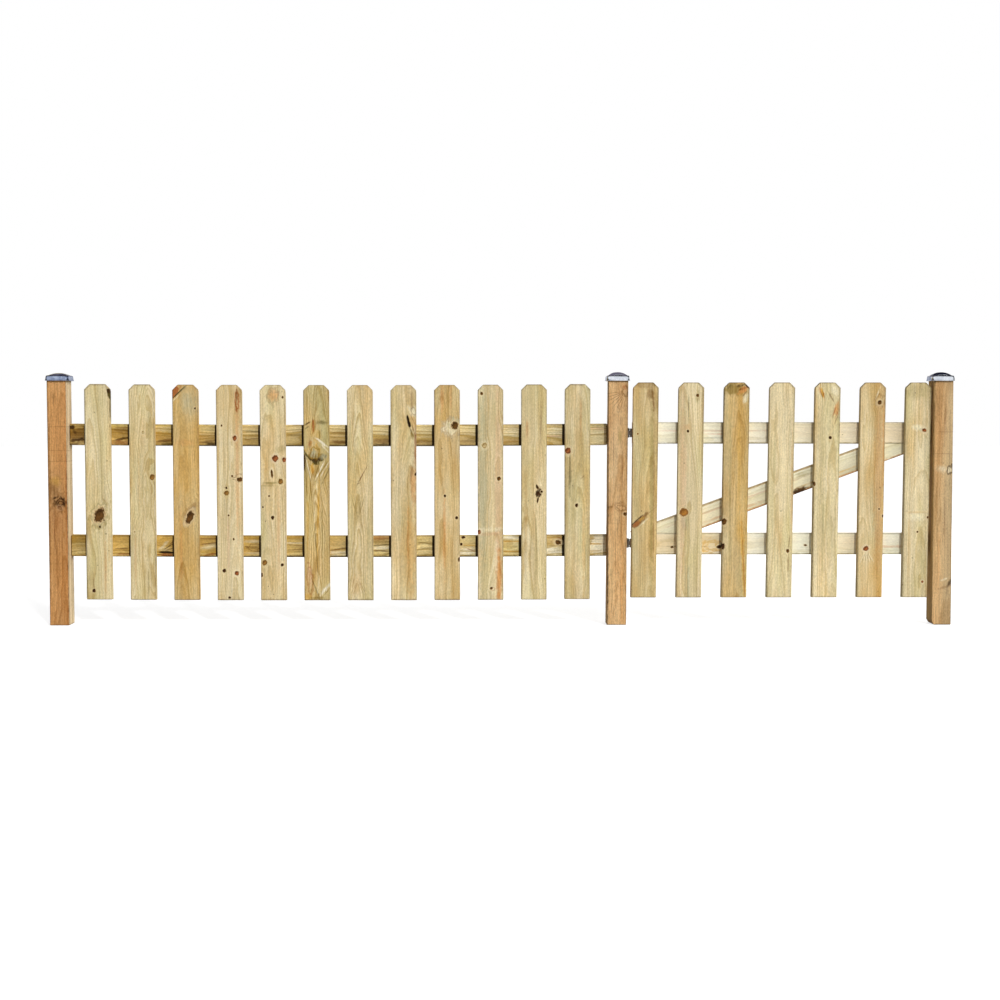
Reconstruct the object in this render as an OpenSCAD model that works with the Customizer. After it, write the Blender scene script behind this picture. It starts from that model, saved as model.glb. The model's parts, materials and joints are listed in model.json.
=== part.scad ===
// Low picket fence with a garden gate: one bay of fence and one braced gate leaf between three
// capped posts. The leaf hangs on two T-hinges screwed to the back and opens to the back.
//
// X runs along the fence from the fence bay to the gate, Y from the front to the back and Z up.
// The origin is the middle of the hinge post's foot, at ground level. Sizes are in millimetres.

/* [Posts] */
// Side of the three square posts
post_w = 72; // [60:1:100]
// Radius that eases a post's upright edges
post_arris = 2; // [1:0.5:5]

/* [Fence bay] */
// Clear width between the left post and the hinge post
bay_w = 1998; // [1500:1:2600]
// Height of the fence pickets' feet above the ground
fence_clear = 93; // [20:1:200]
// Gap between a post and the picket next to it
end_gap = 64; // [30:1:90]

/* [Gate leaf] */
// Width of the leaf over its rails
gate_w = 1107; // [850:1:1400]
// Height of the leaf's pickets above the ground
gate_clear = 101; // [20:1:200]
// Gap between the leaf and the latch post
latch_gap = 10.5; // [8:0.5:25]

/* [Pickets] */
// Width of a picket
picket_w = 95; // [75:1:116]
// Height of a picket
picket_h = 800; // [600:10:1100]
// Thickness of a picket
picket_t = 20; // [14:1:28]
// Size of the corner sawn off each side of a picket's head
ear = 20; // [8:1:32]
// Width of the bevel planed round a picket's front
bevel = 3; // [1:0.5:5]

/* [Rails and brace] */
// Height of the rails' section
rail_h = 80; // [60:1:100]
// Thickness of the rails and the brace
rail_t = 38; // [30:1:50]
// Distance from the pickets' tops down to the middle of the top rail
top_rail_drop = 187; // [120:1:250]
// Distance from the pickets' feet up to the middle of the bottom rail
foot_rail_rise = 199; // [120:1:250]
// Width of the brace
brace_w = 80; // [60:1:100]
// Height of the upright cut at each tip of the brace
brace_tip = 6; // [0:1:15]
// Radius that eases the long edges of the rails and the brace
rail_arris = 2.5; // [1:0.5:5]

/* [Post caps] */
// How far a cap's skirt stands out past the post on each side
cap_overhang = 9; // [5:0.5:10]
// How much the skirt draws in on each side towards its top
cap_flare = 2.5; // [0:0.5:3]
// How far the skirt reaches down past the post's top
cap_drop = 18; // [8:1:30]
// Thickness of the pressed sheet
cap_sheet = 1.5; // [0.8:0.1:2]
// Outer radius of the fold between skirt and deck
cap_fold = 5.5; // [2.5:0.5:6]
// Outer radius of the skirt's upright corners
cap_corner = 12; // [4:1:16]
// Height of the pressed dome above the deck
cap_rise = 13; // [6:0.5:20]
// Width of the flat rim round the dome
cap_rim = 5.5; // [4:0.5:12]
// Space between the leaf's picket heads and the skirts
cap_clear = 6; // [6:1:30]

/* [Hinges] */
// Height of a hinge's barrel, and of the strap where it leaves the barrel
barrel_h = 33; // [26:1:50]
// Share of the barrel taken by the strap's middle knuckle
strap_share = 0.5; // [0.4:0.05:0.6]
// Diameter of the hinge pin
pin_d = 6; // [5:0.5:10]
// Thickness of the hinge's plates
iron_t = 3; // [2:0.5:4]
// Reach of the strap from the pin to its tip
strap_l = 250; // [180:5:320]
// Width of the strap's rounded tip
strap_tip = 18; // [16:1:24]
// Height of the plate on the post
plate_h = 90; // [80:1:110]
// Width of the plate that lies on the post
plate_w = 31; // [28:1:36]
// Space between the barrel and the wood on either side of it
barrel_side = 3.5; // [1:0.5:8]
// Diameter of a pin's riveted heads
pin_head_d = 9; // [8:0.5:10]
// Height of a pin's riveted heads
pin_head_h = 1.5; // [1:0.5:3]
// Diameter of the screw holes
screw_d = 5.2; // [4:0.2:6]
// Diameter of the countersinks round them
sink_d = 9.6; // [8:0.2:11]

/* [Hidden] */
$fn = 64;
fence_pickets = 12;
gate_pickets = 7;
cut = 1; // how far a cutter runs past what it cuts

pin_play = 0.05; // radial play of the strap's knuckle on the pin
knuckle_gap = 0.5; // space between neighbouring knuckles
seam = 0.4; // slit where a knuckle's rolled end meets its plate
plate_inset = 1; // how far the plate on the post stays in from the post's corner

// Along Y: the rails' backs are flush with the posts' backs, and the pickets lie on the rails.
back_y = post_w / 2;
rail_y = back_y - rail_t;

// Along X: the fence bay is left of the hinge post and the leaf is right of it.
barrel_r = pin_d / 2 + iron_t;
hinge_gap = 2 * (barrel_r + barrel_side);
bay_x = -post_w / 2 - bay_w;
leaf_x = post_w / 2 + hinge_gap;
left_post_x = bay_x - post_w / 2;
latch_post_x = leaf_x + gate_w + latch_gap + post_w / 2;
pin_x = post_w / 2 + hinge_gap / 2;
pin_y = back_y + barrel_r;

// Along Z: the posts rise until the caps clear the leaf's picket heads.
post_h = gate_clear + picket_h + cap_clear + cap_drop;
rail_heights = [foot_rail_rise, picket_h - top_rail_drop];

// The fence's end pickets keep their gap to the posts, and the leaf's are flush with its rails.
fence_pitch = (bay_w - 2 * end_gap - picket_w) / (fence_pickets - 1);
gate_pitch = (gate_w - picket_w) / (gate_pickets - 1);

// The brace's top edge starts above the bottom rail at the hinges and its bottom edge ends below
// the top rail at the latch, so its slope follows from the opening between the rails.
brace_run = rail_heights[1] - rail_heights[0] - rail_h;
brace_fall = brace_run - 2 * brace_tip;
brace_slope = atan(brace_fall / gate_w) + asin(brace_w / norm([gate_w, brace_fall]));

// A cap's dome is part of a sphere through the dome's rim and its top.
cap_base = post_w + 2 * cap_overhang;
cap_top = cap_base - 2 * cap_flare;
cap_h = cap_drop + cap_sheet;
dome_r = cap_top / 2 - cap_rim;
dome_ball = (dome_r * dome_r + cap_rise * cap_rise) / (2 * cap_rise);

// Screw holes: zigzag up the plate, from its outer edge, and along the strap, from the pin
wood_in = hinge_gap / 2;
hole_edge = 8;
plate_holes = [
    [hole_edge, plate_h / 2 - hole_edge],
    [plate_w - hole_edge, plate_h / 6],
    [plate_w - hole_edge, -plate_h / 6],
    [hole_edge, hole_edge - plate_h / 2],
];
strap_holes = [for (i = [0:3]) lerp(wood_in + 18, strap_l - hole_edge - 3, i / 3)];

post_wood = [0.76, 0.62, 0.42];
picket_wood = [0.81, 0.75, 0.56];
dark_wood = [0.68, 0.54, 0.30];
pale_wood = [0.86, 0.80, 0.66];
zinc = [0.80, 0.82, 0.84];
iron = [0.46, 0.47, 0.48];

function lerp(a, b, t) = a + (b - a) * t;
function two_digits(i) = i < 10 ? str("0", i) : str(i);
function fence_name(i) = str("fence_picket_", two_digits(i));
function gate_name(i) = str("gate_picket_", i);

// A w by d rectangle about the origin, with its corners rounded to radius r
module rounded_rect(w, d, r) {
    square([w - 2 * r, d], center = true);
    square([w, d - 2 * r], center = true);
    for (x = [-1, 1], y = [-1, 1]) translate([x * (w / 2 - r), y * (d / 2 - r)]) circle(r);
}

// A post standing on the ground at x
module post(x) {
    translate([x, 0, 0]) linear_extrude(post_h) rounded_rect(post_w, post_w, post_arris);
}

// A piece of rail timber l long and w wide, with its middle line along X, and its back at Y = 0
module rail_timber(l, w) {
    translate([0, -rail_t / 2, 0])
        rotate([90, 0, 90]) linear_extrude(l) rounded_rect(rail_t, w, rail_arris);
}

// A rail l long from x, behind pickets that stand clear off the ground
module rail(x, l, clear, level) {
    translate([x, back_y, clear + rail_heights[level]]) rail_timber(l, rail_h);
}

// Front view of a picket: square foot, head with both corners sawn off
picket_outline = [
    [-picket_w / 2, 0],
    [picket_w / 2, 0],
    [picket_w / 2, picket_h - ear],
    [picket_w / 2 - ear, picket_h],
    [ear - picket_w / 2, picket_h],
    [-picket_w / 2, picket_h - ear],
];

// Cutter for the bevel along the front edge from p to q, both in the front plane. Its inner face
// is the bevel's plane, and it runs on past both ends so that neighbouring bevels meet in a mitre.
module bevel_cut(p, q) {
    run = q - p;
    reach = bevel + cut;
    translate([p.x, 0, p.y]) rotate([45, -atan2(run.y, run.x), 0])
        translate([-reach, -2 * bevel, -2 * bevel])
            cube([norm(run) + 2 * reach, 2 * bevel + bevel / sqrt(2), 4 * bevel]);
}

// A picket on its foot, with its front in the plane Y = 0
module picket() {
    difference() {
        translate([0, picket_t, 0]) rotate([90, 0, 0]) linear_extrude(picket_t) polygon(picket_outline);
        for (i = [0:len(picket_outline) - 1])
            bevel_cut(picket_outline[i], picket_outline[(i + 1) % len(picket_outline)]);
    }
}

// Picket i of the fence, counted from the left post
module fence_picket(i) {
    color(picket_wood)
        translate([
            bay_x + end_gap + picket_w / 2 + (i - 1) * fence_pitch,
            rail_y - picket_t,
            fence_clear,
        ]) picket();
}

// Picket i of the leaf, counted from the hinges
module gate_picket(i) {
    color(picket_wood)
        translate([leaf_x + picket_w / 2 + (i - 1) * gate_pitch, rail_y - picket_t, gate_clear]) picket();
}

module left_post() {
    color(post_wood) post(left_post_x);
}

module hinge_post() {
    color(post_wood) post(0);
}

module latch_post() {
    color(post_wood) post(latch_post_x);
}

// The top and bottom fence rails butt against the posts.
module fence_rail_top() {
    color(dark_wood) rail(bay_x, bay_w, fence_clear, 1);
}

module fence_rail_bottom() {
    color(dark_wood) rail(bay_x, bay_w, fence_clear, 0);
}

module gate_rail_top() {
    color(pale_wood) rail(leaf_x, gate_w, gate_clear, 1);
}

module gate_rail_bottom() {
    color(pale_wood) rail(leaf_x, gate_w, gate_clear, 0);
}

// The brace rises from the bottom hinge to the latch side, cut to fit between the rails.
module gate_brace() {
    color(pale_wood) translate([leaf_x, back_y, gate_clear + rail_heights[0] + rail_h / 2])
        intersection() {
            translate([0, 0, brace_tip]) rotate([0, -brace_slope, 0]) translate([-brace_w, 0, -brace_w / 2])
                rail_timber(gate_w / cos(brace_slope) + 2 * brace_w, brace_w);
            translate([0, -rail_t, 0]) cube([gate_w, rail_t, brace_run]);
        }
}

// Section through a cap's tray: skirt drawn in from wide at the foot to narrow, folded over at r
module tray_section(wide, narrow, h, r) {
    polygon([
        [-wide / 2, 0],
        [wide / 2, 0],
        [narrow / 2, h - r],
        [narrow / 2 - r, h],
        [r - narrow / 2, h],
        [-narrow / 2, h - r],
    ]);
    for (x = [-1, 1]) translate([x * (narrow / 2 - r), h - r]) circle(r);
}

// A solid tray with a dome on its deck, in by the thickness of the sheet where inside is true
module cap_form(inside) {
    in = inside ? cap_sheet : 0;
    intersection() {
        rotate([90, 0, 0]) linear_extrude(cap_base + 2 * cut, center = true)
            tray_section(cap_base - 2 * in, cap_top - 2 * in, cap_h - in, cap_fold - in);
        rotate([90, 0, 90]) linear_extrude(cap_base + 2 * cut, center = true)
            tray_section(cap_base - 2 * in, cap_top - 2 * in, cap_h - in, cap_fold - in);
        linear_extrude(cap_h) rounded_rect(cap_base - 2 * in, cap_base - 2 * in, cap_corner - in);
    }
    intersection() {
        translate([0, 0, cap_h + cap_rise - dome_ball]) sphere(dome_ball - in);
        translate([0, 0, cap_h - cap_sheet]) cylinder(r = dome_r + cut, h = cap_rise + cap_sheet + cut);
    }
}

// A pressed sheet cap, its deck resting on the post's top at x
module cap(x) {
    translate([x, 0, post_h - cap_drop]) difference() {
        cap_form(false);
        cap_form(true);
        // opens the skirt's foot
        translate([0, 0, -cut]) linear_extrude(2 * cut)
            rounded_rect(cap_base - 2 * cap_sheet, cap_base - 2 * cap_sheet, cap_corner - cap_sheet);
    }
}

module left_cap() {
    color(zinc) cap(left_post_x);
}

module hinge_cap() {
    color(zinc) cap(0);
}

module latch_cap() {
    color(zinc) cap(latch_post_x);
}

// The hinges are drawn about their pin: the wood's back face lies at Y = -barrel_r.
// Puts a hinge piece on the pin's line, level with one of the leaf's rails
module at_hinge(level) {
    translate([pin_x, pin_y, gate_clear + rail_heights[level]]) children();
}

// Sheet of the hinge's iron, from its outline seen from the front, lying on the wood
module iron_sheet() {
    translate([0, iron_t - barrel_r, 0]) rotate([90, 0, 0]) linear_extrude(iron_t) children();
}

// One knuckle from z0 to z1, rolled from a tab that leaves towards side (-1 left, 1 right)
module knuckle(z0, z1, bore_r, side) {
    tab = barrel_r + knuckle_gap + cut;
    translate([0, 0, z0]) difference() {
        union() {
            cylinder(r = barrel_r, h = z1 - z0);
            translate([side < 0 ? -tab : 0, -barrel_r, 0]) cube([tab, iron_t, z1 - z0]);
        }
        translate([0, 0, -cut]) cylinder(r = bore_r, h = z1 - z0 + 2 * cut);
        // slit left where the rolled end meets the tab
        translate([side < 0 ? -barrel_r : bore_r / 2, iron_t - barrel_r, -cut])
            cube([barrel_r - bore_r / 2, seam, z1 - z0 + 2 * cut]);
    }
}

// Countersunk screw hole through the sheet at x, z
module screw_hole(x, z) {
    translate([x, -barrel_r, z]) rotate([-90, 0, 0]) {
        translate([0, 0, -cut]) cylinder(d = screw_d, h = iron_t + 2 * cut);
        translate([0, 0, iron_t - (sink_d - screw_d) / 2])
            cylinder(d1 = screw_d, d2 = sink_d + 2 * cut, h = (sink_d - screw_d) / 2 + cut);
    }
}

strap_half = barrel_h * strap_share / 2;

// Plate screwed to the post: two outer knuckles round the pin
module hinge_plate(level) {
    edge = wood_in + plate_inset;
    color(iron) at_hinge(level) {
        difference() {
            iron_sheet() {
                translate([-edge - plate_w / 2, 0]) rounded_rect(plate_w, plate_h, 4);
                translate([-edge - plate_w / 2, 0]) square([plate_w / 2, plate_h / 2]);
                translate([-edge - plate_w / 2, -plate_h / 2]) square([plate_w / 2, plate_h / 2]);
                translate([-edge - 1, -barrel_h / 2]) square([edge + 1 - barrel_r - knuckle_gap, barrel_h]);
            }
            for (p = plate_holes) screw_hole(-edge - plate_w + p.x, p.y);
        }
        knuckle(strap_half + knuckle_gap, barrel_h / 2, pin_d / 2, -1);
        knuckle(-barrel_h / 2, -strap_half - knuckle_gap, pin_d / 2, -1);
    }
}

// Strap screwed to the leaf's rail: tapered, with a rounded tip and one middle knuckle
module hinge_strap(level) {
    root = barrel_r + knuckle_gap;
    tip_x = strap_l - strap_tip / 2;
    color(iron) at_hinge(level) {
        difference() {
            iron_sheet() {
                polygon([
                    [root, -barrel_h / 2],
                    [tip_x, -strap_tip / 2],
                    [tip_x, strap_tip / 2],
                    [root, barrel_h / 2],
                ]);
                translate([tip_x, 0]) circle(d = strap_tip);
            }
            for (x = strap_holes) screw_hole(x, 0);
        }
        knuckle(-strap_half, strap_half, pin_d / 2 + pin_play, 1);
    }
}

// Pin through the knuckles, riveted over at both ends
module hinge_pin(level) {
    color(iron) at_hinge(level) {
        cylinder(d = pin_d, h = barrel_h, center = true);
        for (end = [0, 1]) mirror([0, 0, end]) translate([0, 0, barrel_h / 2])
            cylinder(d1 = pin_head_d, d2 = pin_head_d - 2 * pin_head_h, h = pin_head_h);
    }
}

module hinge_plate_top() { hinge_plate(1); }

module hinge_strap_top() { hinge_strap(1); }

module hinge_pin_top() { hinge_pin(1); }

module hinge_plate_bottom() { hinge_plate(0); }

module hinge_strap_bottom() { hinge_strap(0); }

module hinge_pin_bottom() { hinge_pin(0); }

left_post();
hinge_post();
latch_post();
left_cap();
hinge_cap();
latch_cap();
fence_rail_top();
fence_rail_bottom();
gate_rail_top();
gate_rail_bottom();
gate_brace();
hinge_plate_top();
hinge_strap_top();
hinge_pin_top();
hinge_plate_bottom();
hinge_strap_bottom();
hinge_pin_bottom();
for (i = [1:fence_pickets]) fence_picket(i);
for (i = [1:gate_pickets]) gate_picket(i);
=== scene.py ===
"""Looks of a low picket fence bay with its braced garden gate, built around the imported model."""

import json
import logging
import math
from collections.abc import Iterable, Sequence
from dataclasses import dataclass, replace
from enum import Enum

import bmesh
import bpy
from mathutils import Matrix, Vector

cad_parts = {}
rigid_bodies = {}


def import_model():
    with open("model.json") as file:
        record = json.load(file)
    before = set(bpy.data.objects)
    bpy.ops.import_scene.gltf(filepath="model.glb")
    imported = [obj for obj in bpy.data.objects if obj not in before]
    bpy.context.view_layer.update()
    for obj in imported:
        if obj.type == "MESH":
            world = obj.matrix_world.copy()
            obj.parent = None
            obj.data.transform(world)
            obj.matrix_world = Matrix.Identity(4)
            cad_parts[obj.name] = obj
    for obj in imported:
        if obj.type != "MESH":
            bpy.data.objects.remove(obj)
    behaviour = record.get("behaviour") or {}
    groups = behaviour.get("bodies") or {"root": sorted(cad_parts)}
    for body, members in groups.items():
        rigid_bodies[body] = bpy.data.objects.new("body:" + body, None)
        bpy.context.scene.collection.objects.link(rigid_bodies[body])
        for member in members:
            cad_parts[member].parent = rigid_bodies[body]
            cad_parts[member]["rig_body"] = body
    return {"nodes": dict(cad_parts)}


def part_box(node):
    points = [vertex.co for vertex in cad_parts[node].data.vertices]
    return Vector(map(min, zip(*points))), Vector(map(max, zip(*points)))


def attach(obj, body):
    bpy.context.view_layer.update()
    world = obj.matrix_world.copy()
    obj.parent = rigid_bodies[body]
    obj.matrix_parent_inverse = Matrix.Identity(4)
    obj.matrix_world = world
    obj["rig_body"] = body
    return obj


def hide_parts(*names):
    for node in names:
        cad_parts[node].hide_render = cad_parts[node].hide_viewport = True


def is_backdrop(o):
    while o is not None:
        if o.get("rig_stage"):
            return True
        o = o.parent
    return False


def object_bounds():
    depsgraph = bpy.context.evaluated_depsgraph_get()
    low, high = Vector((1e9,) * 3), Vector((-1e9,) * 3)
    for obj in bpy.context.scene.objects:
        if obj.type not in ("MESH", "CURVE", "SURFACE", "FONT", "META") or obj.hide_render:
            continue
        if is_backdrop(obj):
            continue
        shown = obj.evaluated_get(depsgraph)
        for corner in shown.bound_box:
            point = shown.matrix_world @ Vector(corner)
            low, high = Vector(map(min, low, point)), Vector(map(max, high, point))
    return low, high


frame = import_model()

CAD_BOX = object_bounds()
MM = 0.001
UPRIGHT = math.pi / 2
CIRCLE = 2 * math.pi
ROW_PITCH = 12.0
EDGE_ROWS = 5
SAW_PITCH = 0.0042
RELIEF = 0.25 * MM
WHITE = (1.0, 1.0, 1.0, 1.0)
BLACK = (0.0, 0.0, 0.0, 1.0)
LOG = logging.getLogger("gate")

Colour = tuple[float, float, float, float]
Socket = bpy.types.NodeSocket
Feed = Socket | float | int | bool | Sequence[float] | None


class Body(Enum):
    """The two bodies that pieces ride on."""

    FENCE = "posts_and_fence"
    LEAF = "gate_leaf"


class Slot(Enum):
    """The record's material slots."""

    POST = "post_timber"
    PICKET = "picket_timber"
    FENCE_RAIL = "fence_rail_timber"
    GATE_RAIL = "gate_rail_timber"
    CAP = "cap_sheet"
    HINGE = "hinge_steel"


def srgb(red: int, green: int, blue: int) -> Colour:
    """Turns a colour as seen on a screen, 0 to 255, into linear light.

    Args:
        red: Red from 0 to 255.
        green: Green from 0 to 255.
        blue: Blue from 0 to 255.

    Returns:
        The colour as a material wants it, with an alpha of 1.
    """
    def linear(value: int) -> float:
        """Undoes the screen's gamma for one channel."""
        share = value / 255
        return share / 12.92 if share <= 0.04045 else ((share + 0.055) / 1.055) ** 2.4

    return linear(red), linear(green), linear(blue), 1.0


class Graph:
    """A node tree under construction, with short calls for the nodes that it uses most."""

    def __init__(self, tree: bpy.types.NodeTree) -> None:
        """Keeps the tree that nodes are added to."""
        self.tree = tree

    def feed(self, socket: Socket, value: Feed) -> None:
        """Links a socket into another, or sets the other to a plain value.

        Args:
            socket: The input to feed.
            value: An output socket, a plain value, or None to leave the input as it is.
        """
        if isinstance(value, bpy.types.NodeSocket):
            self.tree.links.new(value, socket)
        elif value is not None:
            socket.default_value = value

    def fill(self, inputs: bpy.types.NodeInputs, values: dict[str, Feed]) -> None:
        """Feeds a node's inputs by name."""
        for name, value in values.items():
            self.feed(inputs[name], value)

    def node(self, kind: str, *values: Feed, **settings: object) -> bpy.types.Node:
        """Adds a node.

        Args:
            kind: The node's type name.
            *values: What feeds its first inputs, in order.
            **settings: Properties of the node, set before its inputs are fed.

        Returns:
            The new node.
        """
        made = self.tree.nodes.new(kind)
        for key, setting in settings.items():
            setattr(made, key, setting)
        for socket, value in zip(made.inputs, values):
            self.feed(socket, value)
        return made

    def named(self, kind: str, values: dict[str, Feed], **settings: object) -> bpy.types.Node:
        """Adds a node whose inputs are fed by name.

        Args:
            kind: The node's type name.
            values: What feeds each input, by the input's name.
            **settings: Properties of the node.

        Returns:
            The new node.
        """
        made = self.node(kind, **settings)
        self.fill(made.inputs, values)
        return made

    def math(self, operation: str, *values: Feed, clamp: bool = False) -> Socket:
        """Adds a Math node and returns its result."""
        return self.node("ShaderNodeMath", *values, operation=operation, use_clamp=clamp).outputs[0]

    def plus(self, first: Feed, second: Feed) -> Socket:
        """Adds two numbers."""
        return self.math("ADD", first, second)

    def minus(self, first: Feed, second: Feed) -> Socket:
        """Takes the second number from the first."""
        return self.math("SUBTRACT", first, second)

    def times(self, first: Feed, second: Feed, more: Feed = None) -> Socket:
        """Multiplies two numbers, and adds a third where there is one."""
        return self.math("MULTIPLY" if more is None else "MULTIPLY_ADD", first, second, more)

    def vector(self, operation: str, *values: Feed) -> Socket:
        """Adds a Vector Math node and returns its vector, or its number where it has one."""
        made = self.node("ShaderNodeVectorMath", *values, operation=operation)
        return made.outputs[1 if operation == "DOT_PRODUCT" else 0]

    def centred(self, colour: Socket) -> Socket:
        """Moves a noise's colour so that it lies about zero."""
        return self.vector("SUBTRACT", colour, (0.5, 0.5, 0.5))

    def scaled(self, vector: Feed, factor: Feed) -> Socket:
        """Multiplies a vector by a number."""
        made = self.node("ShaderNodeVectorMath", vector, operation="SCALE")
        self.feed(made.inputs["Scale"], factor)
        return made.outputs[0]

    def split(self, vector: Feed) -> Sequence[Socket]:
        """Takes a vector apart into x, y and z."""
        return self.node("ShaderNodeSeparateXYZ", vector).outputs

    def join(self, x: Feed, y: Feed, z: Feed) -> Socket:
        """Makes a vector of three numbers."""
        return self.node("ShaderNodeCombineXYZ", x, y, z).outputs[0]

    def ramp(self, value: Feed, low: Feed, high: Feed, start: Feed = 0.0, end: Feed = 1.0,
             smooth: bool = True) -> Socket:
        """Runs from start to end as a value goes from low to high, and stays there beyond.

        Args:
            value: The number that drives the ramp.
            low: Where the ramp starts.
            high: Where it ends.
            start: The result at low.
            end: The result at high.
            smooth: Whether it eases in and out.

        Returns:
            The ramp's result.
        """
        kind = "SMOOTHSTEP" if smooth else "LINEAR"
        return self.node("ShaderNodeMapRange", value, low, high, start, end,
                         interpolation_type=kind).outputs[0]

    def mix(self, factor: Feed, first: Feed, second: Feed, blend: str = "MIX") -> Socket:
        """Mixes two colours by a factor."""
        made = self.node("ShaderNodeMix", data_type="RGBA", blend_type=blend, clamp_factor=True)
        for place, value in ((0, factor), (6, first), (7, second)):
            self.feed(made.inputs[place], value)
        return made.outputs[2]

    def choose(self, factor: Feed, first: Feed, second: Feed) -> Socket:
        """Mixes two numbers by a factor."""
        made = self.node("ShaderNodeMix", data_type="FLOAT", clamp_factor=True)
        for place, value in ((0, factor), (2, first), (3, second)):
            self.feed(made.inputs[place], value)
        return made.outputs[0]

    def noise(self, vector: Feed, scale: float = 1.0, detail: float = 2.0,
              roughness: float = 0.5) -> bpy.types.Node:
        """Adds a solid noise, whose outputs are a number and a colour."""
        values = {"Vector": vector, "Scale": scale, "Detail": detail, "Roughness": roughness}
        return self.named("ShaderNodeTexNoise", values)

    def line_noise(self, position: Feed, detail: float = 1.0) -> Socket:
        """Adds a noise along a single number."""
        values = {"W": position, "Scale": 1.0, "Detail": detail}
        return self.named("ShaderNodeTexNoise", values, noise_dimensions="1D").outputs[0]

    def group(self, tree: bpy.types.NodeTree, values: dict[str, Feed]) -> bpy.types.Node:
        """Adds a shader's node group, with its inputs fed by name."""
        return self.named("ShaderNodeGroup", values, node_tree=tree)


def open_group(name: str, inputs: dict[str, str], outputs: dict[str, str],
               kind: str = "ShaderNodeTree") -> tuple[Graph, Sequence[Socket], bpy.types.Node]:
    """Starts a node group.

    Args:
        name: The group's name.
        inputs: Its inputs' names with commas between them, by the short name of their kind.
        outputs: Its outputs, given the same way.
        kind: The sort of node tree.

    Returns:
        The graph to build in, the group's inputs by name, and the node that takes its outputs.
    """
    tree = bpy.data.node_groups.new(name, kind)
    for way, sorts in (("INPUT", inputs), ("OUTPUT", outputs)):
        for sort, labels in sorts.items():
            for label in labels.split(", "):
                tree.interface.new_socket(label, in_out=way, socket_type=f"NodeSocket{sort}")
    graph = Graph(tree)
    return graph, graph.node("NodeGroupInput").outputs, graph.node("NodeGroupOutput")


def open_material(name: str) -> tuple[bpy.types.Material, Graph, bpy.types.NodeInputs]:
    """Starts a material, and gives its graph and its shader's inputs with it."""
    material = bpy.data.materials.new(name)
    material.use_nodes = True
    shader = material.node_tree.nodes["Principled BSDF"]
    return material, Graph(material.node_tree), shader.inputs


def put(name: str, data: bpy.types.ID) -> bpy.types.Object:
    """Puts a mesh, a lamp or a camera into the scene as an object."""
    made = bpy.data.objects.new(name, data)
    bpy.context.scene.collection.objects.link(made)
    return made


def put_shape(name: str, node: str, shape: bmesh.types.BMesh,
              smooth: bool = True) -> bpy.types.Object:
    """Puts a worked shape into the scene.

    Args:
        name: The object's name.
        node: The mesh's name.
        shape: The shape, which is freed.
        smooth: Whether it is shaded as round.

    Returns:
        The new object.
    """
    mesh = bpy.data.meshes.new(node)
    shape.to_mesh(mesh)
    shape.free()
    if smooth:
        mesh.shade_smooth()
    return put(name, mesh)


def put_quad(name: str, corners: Sequence[Sequence[float]],
             material: bpy.types.Material) -> bpy.types.Object:
    """Puts a flat sheet with four corners into the scene."""
    mesh = bpy.data.meshes.new(name)
    mesh.from_pydata(corners, [], [(0, 1, 2, 3)])
    mesh.materials.append(material)
    return put(name, mesh)


def shade_evenly(piece: bpy.types.Object) -> None:
    """Keeps the flat look of wide faces next to narrow ones."""
    piece.modifiers.new("Even shading", "WEIGHTED_NORMAL").weight = 90


def close_rings(shape: bmesh.types.BMesh, rings: Sequence[Sequence[bmesh.types.BMVert]]) -> None:
    """Lays faces between each ring of points and the next."""
    for lower, upper in zip(rings, rings[1:]):
        for step in range(len(lower)):
            after = (step + 1) % len(lower)
            shape.faces.new((lower[step], lower[after], upper[after], upper[step]))


# ---------------------------------------------------------------------------------------------
# Timber
# ---------------------------------------------------------------------------------------------


class Blemish(Enum):
    """Sorts of knot: the colours of its middle, its rim, its collar and the wood beyond."""

    RED = (srgb(170, 98, 54), srgb(86, 44, 22), srgb(200, 154, 104), srgb(232, 216, 180))
    BROWN = (srgb(108, 72, 32), srgb(60, 38, 14), srgb(180, 138, 86), srgb(230, 212, 168))
    BLACK = (srgb(72, 44, 22), srgb(36, 20, 8), srgb(150, 114, 68), srgb(228, 208, 162))
    OLIVE = (srgb(160, 116, 56), srgb(98, 66, 28), srgb(190, 156, 98), srgb(226, 208, 156))
    PALE = (srgb(208, 186, 134), srgb(146, 118, 70), srgb(198, 176, 118), srgb(232, 220, 182))
    BURL = (srgb(158, 114, 72), srgb(108, 72, 44), srgb(166, 122, 80), srgb(206, 166, 122))
    SOFT = (srgb(182, 124, 54), srgb(118, 74, 32), srgb(192, 156, 104), srgb(226, 212, 170))

    def __call__(self, *values: float) -> "Knot":
        """Makes a knot of this sort from the rest of a knot's values."""
        return Knot(self, *values)


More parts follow.
